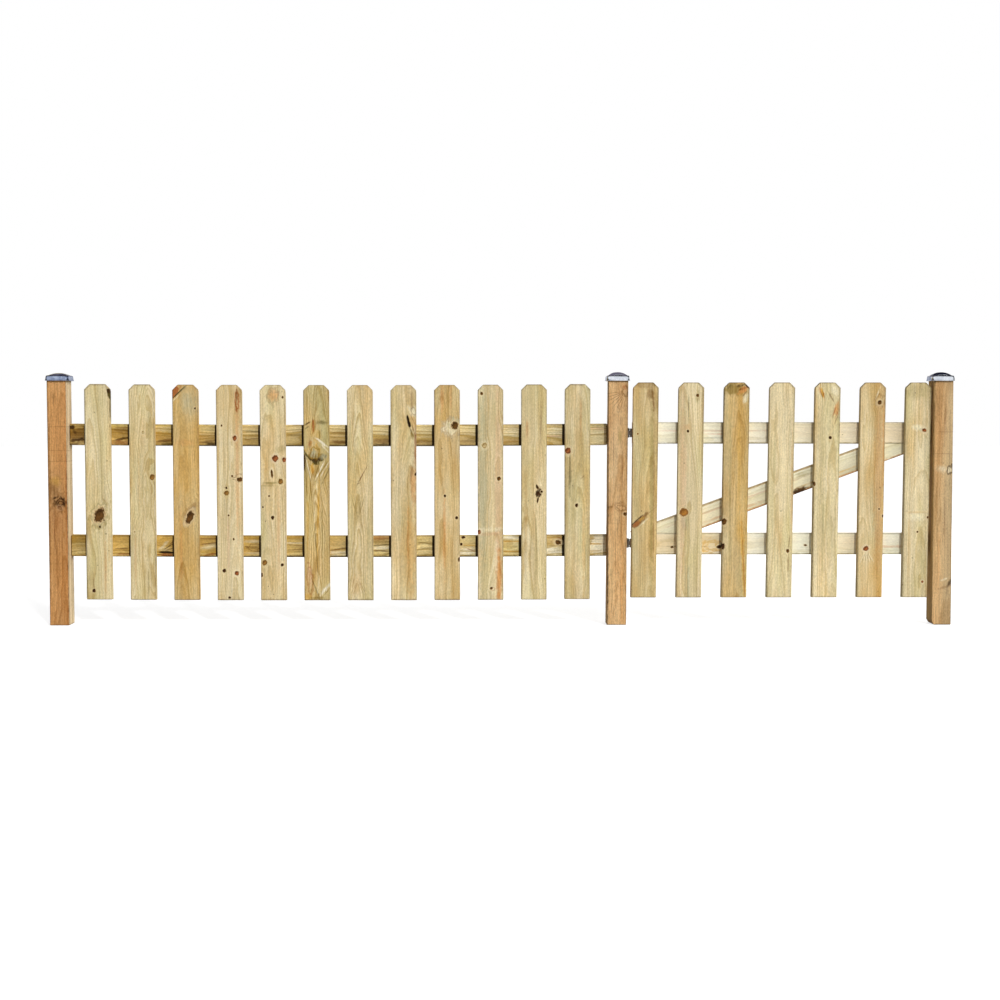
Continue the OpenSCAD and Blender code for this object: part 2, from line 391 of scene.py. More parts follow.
class Tint(Enum):
    """Colours that a patch of a board can take on."""

    ORANGE = srgb(208, 150, 88)
    AMBER = srgb(208, 170, 108)
    BARK = srgb(64, 42, 22)
    TAR = srgb(30, 16, 4)
    HONEY = srgb(218, 172, 78)
    KHAKI = srgb(146, 122, 58)
    UMBER = srgb(130, 92, 52)
    RUST = srgb(166, 98, 52)
    OLIVE = srgb(156, 140, 84)
    MOSS = srgb(92, 82, 40)
    GREY = srgb(178, 176, 146)
    PINK = srgb(216, 178, 144)
    PALE = srgb(236, 226, 192)
    CREAM = srgb(246, 242, 224)
    SAW_LINE = srgb(118, 78, 50)

    def __call__(self, *values: float, **more: float) -> "Stain":
        """Makes a stain of this colour from the rest of a stain's values."""
        return Stain(self, *values, **more)

    def ring(self, across: float, up: float, wide: float, high: float, strength: float = 0.6,
             lean: float = 0.0, hollow: float = 0.78) -> "Stain":
        """Draws a ring-shaped stain."""
        return Stain(self, across, up, wide, high, strength, lean, 0.3, 1.2, hollow=hollow)

    def fan(self, across: float, up: float, angles: Iterable[float], near: float, far: float,
            strength: float = 0.5, wide: float = 1.3) -> tuple["Stain", ...]:
        """Draws thin lines that spread from a point.

        Args:
            across: The point's place across the board.
            up: The point's place along the board.
            angles: Each line's direction in degrees from straight up.
            near: Where the lines start, from the point.
            far: Where they end.
            strength: How strongly they show.
            wide: Half their width.

        Returns:
            The lines.
        """
        middle = (near + far) / 2
        return tuple(Stain(self, across + middle * math.sin(math.radians(angle)),
                           up + middle * math.cos(math.radians(angle)), wide, (far - near) / 2,
                           strength, angle) for angle in angles)


@dataclass(frozen=True)
class Knot:
    """A knot: its place on the board, its half sizes in millimetres and its lean in degrees."""

    sort: Blemish
    across: float
    up: float
    wide: float
    high: float
    lean: float = 0.0
    halo: float = 0.6
    spread: float = 2.6


@dataclass(frozen=True)
class Stain:
    """A patch or streak of another colour, in millimetres, with its lean in degrees."""

    tint: Tint
    across: float
    up: float
    wide: float
    high: float
    strength: float = 0.5
    lean: float = 0.0
    soft: float = 0.6
    fray: float = 1.0
    skin: bool = False
    hollow: float = -1.0


@dataclass(frozen=True)
class Timber:
    """Colours and grain of one sort of timber."""

    pale: Colour
    green: Colour
    warm: Colour
    late: Colour
    slot: Slot
    ring: float = 0.65
    band: float = 0.4
    blotch: float = 2.4
    ring_width: float = 3.4
    wave: float = 5.0
    grit: float = 1.0
    fleck: float = 0.07
    roughness: float = 0.68
    sawn: float = 0.0
    uneven: float = 0.25


PICKET = Timber(srgb(226, 210, 170), srgb(204, 192, 138), srgb(212, 174, 106), (0.7, 0.61, 0.45, 1),
                Slot.PICKET)
POST = Timber(srgb(216, 182, 134), srgb(190, 158, 104), srgb(200, 148, 92), (0.62, 0.5, 0.36, 1),
              Slot.POST, ring=0.45, blotch=1.3, ring_width=4.0, grit=1.2, fleck=0.2,
              roughness=0.75, sawn=0.5, uneven=0.4)
FENCE_RAIL = Timber(srgb(240, 222, 166), srgb(214, 200, 122), srgb(224, 184, 104),
                    (0.5, 0.4, 0.22, 1), Slot.FENCE_RAIL, ring=0.6, band=0.75, ring_width=6.0,
                    grit=1.3, fleck=0.12, roughness=0.75, sawn=0.6, uneven=0.4)
GATE_RAIL = Timber(srgb(244, 241, 224), srgb(230, 229, 198), srgb(240, 229, 198),
                   (0.76, 0.7, 0.54, 1), Slot.GATE_RAIL, ring=0.4, band=0.4, blotch=1.5,
                   ring_width=6.0, grit=0.5, fleck=0.03, roughness=0.75, sawn=0.3, uneven=0.3)


class WoodGroups:
    """The node groups that every board's material is put together from."""

    def __init__(self) -> None:
        """Builds the groups."""
        self.knot = self.build_knot()
        self.knot_face = self.build_knot_face()
        self.stain = self.build_stain()
        self.grain = self.build_grain()

    @staticmethod
    def ellipse(graph: Graph, ports: Sequence[Socket], rise: float) -> tuple[Socket, ...]:
        """Measures how far a point is from a leaning ellipse's middle.

        Args:
            graph: The group's graph.
            ports: Its inputs, which name the ellipse's place and half sizes.
            rise: How much the ellipse climbs through the board's thickness.

        Returns:
            The distance across the board in metres, and the distances along both half sizes.
        """
        x, y, z = graph.split(ports["Place"])
        across = graph.minus(x, ports["Across"])
        up = graph.minus(z, ports["Up"])
        up = graph.times(y, -rise, up)
        cos, sin = graph.math("COSINE", ports["Lean"]), graph.math("SINE", ports["Lean"])
        side = graph.minus(graph.times(across, cos), graph.times(up, sin))
        along = graph.times(across, sin, graph.times(up, cos))
        return (across, graph.math("DIVIDE", side, ports["Wide"]),
                graph.math("DIVIDE", along, ports["High"]))

    def build_knot(self) -> bpy.types.NodeTree:
        """Builds the group that places a knot and pushes the grain aside round it."""
        inputs = {"Vector": "Place", "Float": "Across, Up, Wide, High, Lean, Push"}
        graph, ports, out = open_group("Knot", inputs, {"Float": "Reach, Push, Side"})
        across, side, along = self.ellipse(graph, ports, 0.5)
        side_square = graph.times(side, side)
        reach = graph.math("SQRT", graph.times(along, along, side_square))
        far = graph.times(along, 0.42)
        spread = graph.times(far, far, side_square)
        push = graph.math("DIVIDE", graph.times(across, -0.9), graph.plus(spread, 0.4))
        graph.fill(out.inputs,
                   {"Reach": reach, "Push": graph.plus(push, ports["Push"]),
                    "Side": graph.times(side, -0.8, along)})
        return graph.tree

    @staticmethod
    def build_knot_face() -> bpy.types.NodeTree:
        """Builds the group that paints a knot over the wood."""
        inputs = {"Color": "Base, Core, Rim, Collar, Halo",
                  "Float": "Height, Reach, Side, Fray, Fuzz, Halo Amount, Halo Reach"}
        graph, ports, out = open_group("Knot face", inputs, {"Color": "Base", "Float": "Height"})
        reach = graph.times(ports["Fray"], 0.8, ports["Reach"])
        reach = graph.times(ports["Fuzz"], 0.9, reach)
        halo = graph.times(ports["Halo Amount"],
                           graph.ramp(reach, 1.0, ports["Halo Reach"], 1.0, 0.0))
        colour = graph.mix(halo, ports["Base"], ports["Halo"])
        swirl = graph.math("SINE", graph.times(ports["Fray"], 5.0, graph.times(reach, 9.0)))
        swirl = graph.times(swirl, graph.ramp(reach, 1.0, 2.8, 0.16, 0.0))
        colour = graph.scaled(colour, graph.minus(1.0, swirl))
        colour = graph.mix(graph.ramp(reach, 1.0, 1.5, 0.85, 0.0), colour, ports["Collar"])
        colour = graph.mix(graph.ramp(reach, 0.9, 1.25, 0.95, 0.0), colour, ports["Rim"])
        rings = graph.times(graph.math("SINE", graph.times(reach, 14.0)), 0.2, 0.15)
        heart = graph.ramp(ports["Reach"], 0.05, 0.3, 0.5, 0.0)
        shade = graph.plus(graph.math("MAXIMUM", rings, heart),
                           graph.ramp(ports["Side"], -0.3, 0.9, 0.0, 0.8))
        core = graph.mix(shade, ports["Core"], ports["Rim"])
        colour = graph.mix(graph.ramp(reach, 0.55, 0.95, 1.0, 0.0), colour, core)
        crack = graph.ramp(graph.math("ABSOLUTE", graph.minus(reach, 1.0)), 0.0, 0.16, -0.9, 0.0)
        height = graph.plus(ports["Height"], crack)
        graph.fill(out.inputs, {"Base": colour, "Height": height})
        return graph.tree

    def build_stain(self) -> bpy.types.NodeTree:
        """Builds the group that lays a stain over the wood."""
        inputs = {"Color": "Base, Tint", "Vector": "Place",
                  "Float": "Fray, Across, Up, Wide, High, Lean, Soft, Hollow, Strength"}
        graph, ports, out = open_group("Stain", inputs, {"Color": "Base"})
        _, side, along = self.ellipse(graph, ports, 0.0)
        reach = graph.math("SQRT", graph.times(along, along, graph.times(side, side)))
        reach = graph.plus(reach, ports["Fray"])
        low = graph.minus(1.0, ports["Soft"])
        high = graph.times(ports["Soft"], 0.6, 1.0)
        inner = graph.ramp(reach, graph.minus(ports["Hollow"], 0.25), ports["Hollow"])
        shown = graph.times(graph.ramp(reach, low, high, 1.0, 0.0), inner)
        shown = graph.times(shown, ports["Strength"])
        graph.feed(out.inputs["Base"], graph.mix(shown, ports["Base"], ports["Tint"]))
        return graph.tree

    @staticmethod
    def build_grain() -> bpy.types.NodeTree:
        """Builds the group that grows year rings, bands, blotches and fibres."""
        inputs = {"Vector": "Place, Pith", "Float": "Push, Ring Width, Wave, Taper, Seed"}
        outputs = {"Vector": "Blotch",
                   "Float": "Ring, Band, Fuzz, Fibre, Fray, Streak, Fleck, Speck"}
        graph, ports, out = open_group("Grain", inputs, outputs)
        seeded = graph.vector("ADD", ports["Place"], graph.scaled((1.7, 2.9, 4.3), ports["Seed"]))

        def squeezed(scale: tuple[float, float, float], detail: float) -> Sequence[Socket]:
            """A noise squeezed by a scale along each axis: its number and its colour."""
            return graph.noise(graph.vector("MULTIPLY", seeded, scale), detail=detail).outputs

        slow = graph.centred(squeezed((9, 9, 2.2), 3)["Color"])
        quick = graph.centred(squeezed((36, 36, 10), 2)["Color"])
        wander = graph.vector("ADD", graph.scaled(slow, graph.times(ports["Wave"], 5.0)),
                              graph.scaled(quick, graph.times(ports["Wave"], 0.8)))
        x, y, z = graph.split(graph.vector("SUBTRACT", graph.vector("ADD", ports["Place"], wander),
                                           ports["Pith"]))
        x = graph.plus(x, ports["Push"])
        radius = graph.math("SQRT", graph.times(y, y, graph.times(x, x)))
        turn = graph.math("DIVIDE", graph.times(z, ports["Taper"], radius), ports["Ring Width"])
        phase = graph.math("FRACT", turn)
        ring = graph.times(graph.ramp(phase, 0.2, 0.88), graph.ramp(phase, 0.92, 1, 1, 0))
        seed = ports["Seed"]
        weight = graph.ramp(graph.line_noise(graph.times(turn, 0.61, seed)), 0.3, 0.68, 0.25, 1.0)
        band = graph.line_noise(graph.times(turn, 0.23, graph.plus(seed, 9)), 2)
        for name, scale, detail in (("Fuzz", (270, 270, 130), 2.5), ("Fibre", (1300, 1300, 26), 1),
                                    ("Fray", (110, 110, 60), 1.5), ("Streak", (185, 185, 5), 2)):
            value = squeezed(scale, detail)["Fac"]
            graph.feed(out.inputs[name], graph.minus(value, 0.5))
        cells = graph.named("ShaderNodeTexVoronoi", {
            "Vector": graph.vector("MULTIPLY", seeded, (30, 30, 18)), "Scale": 1.0})
        chance, _, _ = graph.split(cells.outputs["Color"])
        dot = graph.ramp(cells.outputs["Distance"], 0.035, 0.075, 1.0, 0.0)
        graph.fill(out.inputs, {
            "Ring": graph.times(ring, weight), "Band": graph.ramp(band, 0.36, 0.68),
            "Blotch": squeezed((17, 17, 3.4), 3)["Color"],
            "Fleck": graph.ramp(squeezed((260, 260, 22), 1)["Fac"], 0.56, 0.7),
            "Speck": graph.times(dot, graph.ramp(chance, 0.72, 0.8))})
        return graph.tree


@dataclass(frozen=True)
class Lie:
    """How a board lies: its middle, and how steeply its length slopes."""

    middle: Vector
    slope: float = UPRIGHT

    def matrix(self) -> Matrix:
        """Turns a board's own axes (across, through, along) into the model's."""
        return Matrix.Translation(self.middle) @ Matrix.Rotation(UPRIGHT - self.slope, 4, "Y")

    def mapping(self) -> tuple[Vector, tuple[float, float, float]]:
        """Gives the shift and turn that bring a point of the model back to the board's axes."""
        return self.matrix().inverted().translation, (0.0, self.slope - UPRIGHT, 0.0)


@dataclass(frozen=True)
class Figure:
    """What makes one board differ from the next of its timber."""

    seed: float
    pith: tuple[float, float] = (0.0, 95.0)
    warmth: float = 0.0
    green: float = 0.0
    light: float = 1.0
    ring: float = 1.0
    band: float = 1.0
    wave: float = 1.0
    taper: float = 1.0
    knots: tuple[Knot, ...] = ()
    stains: tuple[Stain, ...] = ()


@dataclass
class BoardFinish:
    """The material of one board: its timber, its own figure, and how it lies."""

    groups: WoodGroups
    timber: Timber
    figure: Figure
    lie: Lie
    width: float
    thick: float
    length: float
    ear: float = 0.0
    taper: float = 0.012
    skin: tuple[float, float] = (0.001, 0.004)
    worn_edge: float = 0.006
    end_tint: Colour = (0.74, 0.68, 0.6, 1.0)

    def place(self, graph: Graph) -> Socket:
        """Brings a point into the board's own axes, in metres from its middle."""
        shift, turn = self.lie.mapping()
        where = graph.node("ShaderNodeTexCoord").outputs["Object"]
        return graph.node("ShaderNodeMapping", where, shift, turn, vector_type="POINT").outputs[0]

    def spot(self, mark: Knot | Stain) -> dict[str, Feed]:
        """Gives a knot's or stain's place and half sizes in metres from the board's middle."""
        return {"Across": mark.across * MM, "Up": mark.up * MM - self.length / 2,
                "Wide": mark.wide * MM, "High": mark.high * MM, "Lean": math.radians(mark.lean)}

    def lay_knots(self, graph: Graph, place: Socket) -> tuple[list[bpy.types.Node], Feed]:
        """Places the knots and sums how far they push the grain aside."""
        laid, push = [], 0.0
        for knot in self.figure.knots:
            values = {"Place": place, "Push": push, **self.spot(knot)}
            laid.append(graph.group(self.groups.knot, values))
            push = laid[-1].outputs["Push"]
        return laid, push

    def base(self, graph: Graph, grain: Sequence[Socket]) -> Socket:
        """Mixes the timber's pale, green and warm wood by soft blotches and streaks."""
        parts = graph.split(graph.centred(grain["Blotch"]))
        colour = self.timber.pale
        for part, share, other, side in ((parts[0], self.figure.green, self.timber.green, 0.3),
                                         (parts[1], self.figure.warmth, self.timber.warm, -0.3)):
            streaked = graph.times(grain["Streak"], side, graph.times(part, self.timber.blotch))
            colour = graph.mix(graph.plus(streaked, share), colour, other)
        lift = graph.times(parts[2], 0.4, self.figure.light)
        return graph.scaled(colour, lift)

    def stain(self, graph: Graph, colour: Socket, place: Socket, grain: Sequence[Socket]) -> Socket:
        """Lays the board's stains over its colour, the skin-deep ones on its front only."""
        depth = graph.plus(graph.split(place)[1], self.thick / 2)
        skin = graph.ramp(depth, *self.skin, 1.0, 0.0)
        for mark in self.figure.stains:
            shown = graph.times(skin, mark.strength) if mark.skin else mark.strength
            colour = graph.group(self.groups.stain, {
                "Base": colour, "Place": place, "Soft": mark.soft, "Hollow": mark.hollow,
                "Fray": graph.times(grain["Fray"], 1.3 * mark.fray),
                "Strength": shown, "Tint": mark.tint.value, **self.spot(mark)}).outputs["Base"]
        return colour

    def grained(self, graph: Graph, colour: Socket, place: Socket,
                grain: Sequence[Socket]) -> Socket:
        """Darkens the wood along its year rings, bands, fibres and edges."""
        ring = graph.times(grain["Ring"], self.timber.ring * self.figure.ring)
        band = graph.times(grain["Band"], self.timber.band * self.figure.band)
        dark = graph.math("ADD", ring, band, clamp=True)
        colour = graph.mix(dark, colour, graph.mix(1.0, colour, self.timber.late, "MULTIPLY"))
        level = 1.0
        grit = self.timber.grit
        for name, amount in (("Fuzz", 0.7 * grit), ("Fibre", 0.35 * grit), ("Streak", 0.5 * grit),
                             ("Fleck", -self.timber.fleck)):
            level = graph.times(grain[name], amount, level)
        # darker towards every edge of the board
        near = graph.times(grain["Fray"], 0.004, self.near_edge(graph, place))
        level = graph.minus(level, graph.ramp(near, 0.0, self.worn_edge, 0.42, 0.0))
        colour = graph.scaled(colour, level)
        return graph.mix(graph.times(grain["Speck"], 0.7), colour, Tint.BARK.value)

    def near_edge(self, graph: Graph, place: Socket) -> Socket:
        """Measures how far a point of the board's surface is from its nearest edge."""
        x, y, z = graph.split(place)
        side = graph.minus(self.width / 2, graph.math("ABSOLUTE", x))
        front = graph.minus(self.thick / 2, graph.math("ABSOLUTE", y))
        if self.ear:
            slant = graph.minus(graph.plus(side, self.length / 2 - self.ear), z)
            side = graph.math("MINIMUM", side, graph.times(slant, math.sqrt(0.5)))
        if not self.length:
            return graph.math("MAXIMUM", side, front)
        end = graph.minus(self.length / 2, graph.math("ABSOLUTE", z))
        near, far = graph.math("MINIMUM", side, front), graph.math("MAXIMUM", side, front)
        return graph.math("MAXIMUM", near, graph.math("MINIMUM", far, end))

    def relief(self, graph: Graph, place: Socket, grain: Sequence[Socket]) -> Socket:
        """Gives the height of rings, fibres and saw marks, in shares of a quarter millimetre."""
        height = graph.times(grain["Ring"], 0.55, graph.times(grain["Fibre"], 0.8))
        height = graph.times(grain["Fuzz"], 0.9, height)
        if not self.timber.sawn:
            return height
        _, _, along = graph.split(place)
        pitch = graph.times(grain["Fuzz"], 1.2, graph.times(along, CIRCLE / SAW_PITCH))
        teeth = graph.times(graph.math("SINE", pitch), 0.5 * self.timber.sawn)
        return graph.plus(height, teeth)

    def build(self, name: str) -> bpy.types.Material:
        """Builds the board's material.

        Args:
            name: The board's name.

        Returns:
            The material.
        """
        material, graph, shader = open_material(f"wood_{name}")
        place = self.place(graph)
        laid, push = self.lay_knots(graph, place)
        timber, figure = self.timber, self.figure
        grain = graph.group(self.groups.grain, {
            "Place": place, "Push": push, "Seed": figure.seed,
            "Pith": (figure.pith[0] * MM, figure.pith[1] * MM, 0.0),
            "Ring Width": timber.ring_width * MM, "Wave": timber.wave * figure.wave * MM,
            "Taper": self.taper * figure.taper}).outputs
        colour = self.base(graph, grain)
        colour = self.stain(graph, colour, place, grain)
        colour = self.grained(graph, colour, place, grain)
        height = self.relief(graph, place, grain)
        for knot, spot in zip(figure.knots, laid):
            core, rim, collar, halo = knot.sort.value
            face = graph.group(self.groups.knot_face, {
                "Base": colour, "Height": height, "Reach": spot.outputs["Reach"],
                "Side": spot.outputs["Side"], "Core": core, "Rim": rim, "Collar": collar,
                "Halo": halo, "Halo Amount": knot.halo, "Halo Reach": knot.spread,
                "Fray": grain["Fray"], "Fuzz": grain["Fuzz"]})
            colour, height = face.outputs
        end = graph.named("ShaderNodeAttribute", {}, attribute_name="end_grain").outputs["Fac"]
        cut = graph.mix(1.0, colour, self.end_tint, "MULTIPLY")
        rough = graph.times(grain["Ring"], -0.12, timber.roughness + 0.05)
        bump = graph.named("ShaderNodeBump", {
            "Strength": 0.8, "Distance": RELIEF, "Height": height})
        graph.fill(shader, {
            "Base Color": graph.mix(end, colour, cut), "Specular IOR Level": 0.12,
            "Roughness": graph.times(grain["Fuzz"], 0.25, rough),
            "Normal": bump.outputs[0]})
        return material


class Joinery:
    """The Geometry Nodes trees that cut boards and set screws."""

    def __init__(self) -> None:
        """Builds the trees."""
        self.board = self.build_board()
        self.screws = self.build_screws()

    @staticmethod
    def edge_rows(graph: Graph, share: Socket, count: Socket, half: Socket,
                  arris: Socket) -> Socket:
        """Spaces a block's rows evenly between its arrises, with two more rows round each arris.

        Args:
            graph: The tree's graph.
            share: Where the row stands, from -0.5 to 0.5.
            count: How many rows there are.
            half: Half the block's size.
            arris: The radius of its arrises.

        Returns:
            The row's place from the block's middle.
        """
        last = graph.minus(count, 1.0)
        row = graph.math("ROUND", graph.times(graph.plus(share, 0.5), last))
        edge = graph.minus(count, 3.0)
        inner = graph.minus(half, arris)
        flat = graph.ramp(row, 2.0, edge, graph.times(inner, -1.0), inner, smooth=False)
        low = graph.math("MAXIMUM", graph.minus(2.0, row), 0.0)
        high = graph.math("MAXIMUM", graph.minus(row, edge), 0.0)
        swing = graph.minus(graph.math("TANGENT", graph.times(high, math.pi / 8)),
                            graph.math("TANGENT", graph.times(low, math.pi / 8)))
        return graph.times(swing, arris, flat)

    def build_board(self) -> bpy.types.NodeTree:
        """Builds the tree that cuts a board: eased arrises, sawn ears, and a slight warp."""
        inputs = {"Float": "Width, Thickness, Length, Front Arris, Back Arris, Ear, Heel, Bow, "
                           "Sag, Cup, Unevenness, Seed",
                  "Int": "Rows Across, Rows Through, Rows Along", "Material": "Wood"}
        graph, ports, out = open_group("Sawn board", inputs, {"Geometry": "Mesh"},
                                       "GeometryNodeTree")
        block = graph.named("GeometryNodeMeshCube", {
            "Vertices X": ports["Rows Across"], "Vertices Y": ports["Rows Through"],
            "Vertices Z": ports["Rows Along"]}).outputs["Mesh"]
        x, y, z = graph.split(graph.node("GeometryNodeInputPosition").outputs[0])
        front = graph.math("LESS_THAN", y, -0.0001)
        arris = graph.choose(front, ports["Back Arris"], ports["Front Arris"])
        half = [graph.times(ports[name], 0.5) for name in ("Width", "Thickness", "Length")]
        counts = [ports[f"Rows {way}"] for way in ("Across", "Through", "Along")]
        rows = [self.edge_rows(graph, *row, arris) for row in zip((x, y, z), counts, half)]
        square = graph.join(*rows)
        inner = graph.join(*(graph.minus(size, arris) for size in half))
        core = graph.vector("MINIMUM", inner,
                            graph.vector("MAXIMUM", square, graph.scaled(inner, -1.0)))
        out_from_core = graph.vector("NORMALIZE", graph.vector("SUBTRACT", square, core))
        eased = graph.vector("ADD", core, graph.scaled(out_from_core, arris))
        x, y, z = graph.split(eased)
        inner_x = graph.minus(half[0], arris)
        side = graph.math("MAXIMUM", graph.math("DIVIDE", x, inner_x), -1.0)
        side = graph.math("MINIMUM", side, 1.0)
        above = graph.minus(z, graph.minus(half[2], ports["Ear"]))
        x = graph.minus(x, graph.times(side, graph.math("MAXIMUM", above, 0.0)))
        below = graph.minus(ports["Heel"], graph.plus(z, half[2]))
        left = graph.math("MAXIMUM", graph.times(side, -1.0), 0.0)
        x = graph.times(left, graph.math("MAXIMUM", below, 0.0), x)
        run, width = graph.math("DIVIDE", z, half[2]), graph.math("DIVIDE", x, half[0])
        arch = graph.minus(1.0, graph.times(run, run))
        dish = graph.minus(1.0, graph.times(width, width))
        y = graph.times(arch, ports["Bow"], y)
        y = graph.times(dish, ports["Cup"], y)
        x = graph.times(arch, ports["Sag"], x)
        shaped = graph.join(x, y, z)
        seeded = graph.vector("ADD", graph.vector("MULTIPLY", shaped, (1.0, 1.0, 0.35)),
                              graph.scaled((0.9, 1.7, 2.3), ports["Seed"]))
        waver = graph.scaled(graph.centred(graph.noise(seeded, scale=26.0).outputs["Color"]),
                             graph.times(ports["Unevenness"], 4.0))
        placed = graph.named("GeometryNodeSetPosition", {
            "Geometry": block, "Position": shaped}).outputs[0]
        normal = graph.node("GeometryNodeInputNormal").outputs[0]
        facing = graph.math("ABSOLUTE", graph.split(normal)[2])
        ends = graph.math("GREATER_THAN", facing, 0.5)
        marked = graph.named("GeometryNodeStoreNamedAttribute", {
            "Geometry": placed, "Name": "end_grain", "Value": ends},
            data_type="FLOAT", domain="FACE").outputs[0]
        warped = graph.named("GeometryNodeSetPosition", {
            "Geometry": marked, "Offset": waver}).outputs[0]
        smooth = graph.named("GeometryNodeSetShadeSmooth", {"Geometry": warped}).outputs[0]
        self.close(graph, out, smooth, ports["Wood"])
        return graph.tree

    @staticmethod
    def close(graph: Graph, out: bpy.types.Node, made: Socket, material: Socket) -> None:
        """Ends a tree: realizes its instances and gives the mesh its material."""
        real = graph.named("GeometryNodeRealizeInstances", {"Geometry": made}).outputs[0]
        dressed = graph.named("GeometryNodeSetMaterial", {"Geometry": real, "Material": material})
        graph.feed(out.inputs[0], dressed.outputs[0])

    def build_screws(self) -> bpy.types.NodeTree:
        """Builds the tree that drives rows of screws: a pair at each crossing of two rows."""
        inputs = {"Object": "Screw", "Vector": "First, Column Step, Row Step, Pair Step, Lean",
                  "Int": "Columns, Rows, Pair, Seed", "Material": "Steel"}
        graph, ports, out = open_group("Rows of screws", inputs, {"Geometry": "Mesh"},
                                       "GeometryNodeTree")

        def line(count: Socket, start: Feed, step: Socket) -> Socket:
            """A row of points."""
            made = graph.named("GeometryNodeMeshLine", {
                "Count": count, "Start Location": start, "Offset": step}, mode="OFFSET")
            return made.outputs[0]

        def spread(points: Socket, copy: Socket, turn: Feed = None) -> Socket:
            """Puts a copy on every point."""
            made = graph.named("GeometryNodeInstanceOnPoints", {
                "Points": points, "Instance": copy, "Rotation": turn})
            return made.outputs[0]

        points = line(ports["Columns"], ports["First"], ports["Column Step"])
        for count, step in (("Rows", "Row Step"), ("Pair", "Pair Step")):
            points = spread(points, line(ports[count], (0, 0, 0), ports[step]))
            points = graph.named("GeometryNodeRealizeInstances", {"Geometry": points}).outputs[0]
        twist = graph.node("FunctionNodeRandomValue", None, None, 0.0, CIRCLE, data_type="FLOAT")
        graph.feed(twist.inputs["Seed"], ports["Seed"])
        spin = graph.named("FunctionNodeRotateEuler", {
            "Rotation": graph.join(0.0, 0.0, twist.outputs[1]), "Rotate By": ports["Lean"]},
            rotation_type="EULER", space="OBJECT").outputs[0]
        screw = graph.named("GeometryNodeObjectInfo", {"Object": ports["Screw"]})
        self.close(graph, out, spread(points, screw.outputs["Geometry"], spin), ports["Steel"])
        return graph.tree

    @staticmethod
    def grow(name: str, tree: bpy.types.NodeTree, values: dict[str, object],
             even_shading: bool = False) -> bpy.types.Object:
        """Runs a tree and keeps its result as a plain mesh.

        Args:
            name: The piece's name.
            tree: The tree to run.
            values: The tree's inputs by name.
            even_shading: Whether wide faces keep their flat look next to narrow ones.

        Returns:
            The new piece, at the origin, with no modifiers.
        """
        piece = put(name, bpy.data.meshes.new(name))
        modifier = piece.modifiers.new("Tree", "NODES")
        modifier.node_group = tree
        for item in tree.interface.items_tree:
            if item.in_out == "INPUT" and item.name in values:
                modifier[item.identifier] = values[item.name]
        if even_shading:
            shade_evenly(piece)
        graph = bpy.context.evaluated_depsgraph_get()
        mesh = bpy.data.meshes.new_from_object(piece.evaluated_get(graph),
                                               preserve_all_data_layers=True, depsgraph=graph)
        piece.modifiers.clear()
        piece.data = mesh
        mesh.name = name
        return piece


def settle(piece: bpy.types.Object, body: Body, slot: Slot, *nodes: str) -> bpy.types.Object:
    """Makes a piece ride on its body, and hides the nodes that it stands for.

    Args:
        piece: The finished piece.
        body: The body that it moves with.
        slot: The record's slot for its finish; not used.
        *nodes: The nodes that it stands for.

    Returns:
        The piece.
    """
    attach(piece, body.value)
    if nodes:
        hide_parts(*nodes)
    return piece


@dataclass
class Board:
    """One board: the node that it stands for, its timber, its figure and its cut."""

    node: str
    body: Body
    timber: Timber
    figure: Figure
    front_arris: float = 2.0
    back_arris: float = 2.0
    ear: float = 0.0
    heel: float = 0.0
    bow: float = 0.0
    cup: float = 0.0
    sag: float = 0.0
    drop: float = 0.0
    nudge: float = 0.0
    lean: float = 0.0
    rows: tuple[int, int] = (15, 9)
    level: bool = False
    trim: float = 0.0

    def build(self, joinery: Joinery, groups: WoodGroups) -> bpy.types.Object:
        """Cuts the board, dresses it and settles it in its place.

        Args:
            joinery: The trees that cut boards.
            groups: The wood's node groups.

        Returns:
            The board's piece.
        """
        low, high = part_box(self.node)
        low = low + Vector((self.trim * MM, 0.0, 0.0))
        size = high - low
        width, length = (size.z, size.x) if self.level else (size.x, size.z)
        lie = Lie((low + high) / 2, 0.0 if self.level else UPRIGHT)
        finish = BoardFinish(groups, self.timber, self.figure, lie, width, size.y, length,
                             self.ear * MM)
        pitch = (self.ear - self.front_arris) / 2 if self.ear else ROW_PITCH
        rows_along = round((length / MM - 2 * self.front_arris) / pitch) + EDGE_ROWS
        piece = joinery.grow(f"sawn_{self.node}", joinery.board, {
            "Width": width, "Thickness": size.y, "Length": length, "Ear": self.ear * MM,
            "Front Arris": self.front_arris * MM, "Back Arris": self.back_arris * MM,
            "Heel": self.heel * MM, "Bow": self.bow * MM, "Cup": self.cup * MM,
            "Sag": self.sag * MM, "Unevenness": self.timber.uneven * MM,
            "Rows Across": self.rows[0], "Rows Through": self.rows[1],
            "Rows Along": rows_along, "Seed": self.figure.seed,
            "Wood": finish.build(self.node)}, even_shading=True)
        piece.data.transform(self.setting(lie.middle) @ lie.matrix())
        return settle(piece, self.body, self.timber.slot, self.node)

    def setting(self, middle: Vector) -> Matrix:
        """Gives the small shift and lean with which the board was nailed up."""
        lean = Matrix.Shear("XY", 4, (math.tan(math.radians(self.lean)), 0.0))
        shift = Matrix.Translation(Vector((self.nudge, 0.0, -self.drop)) * MM)
        return shift @ Matrix.Translation(middle) @ lean @ Matrix.Translation(-middle)


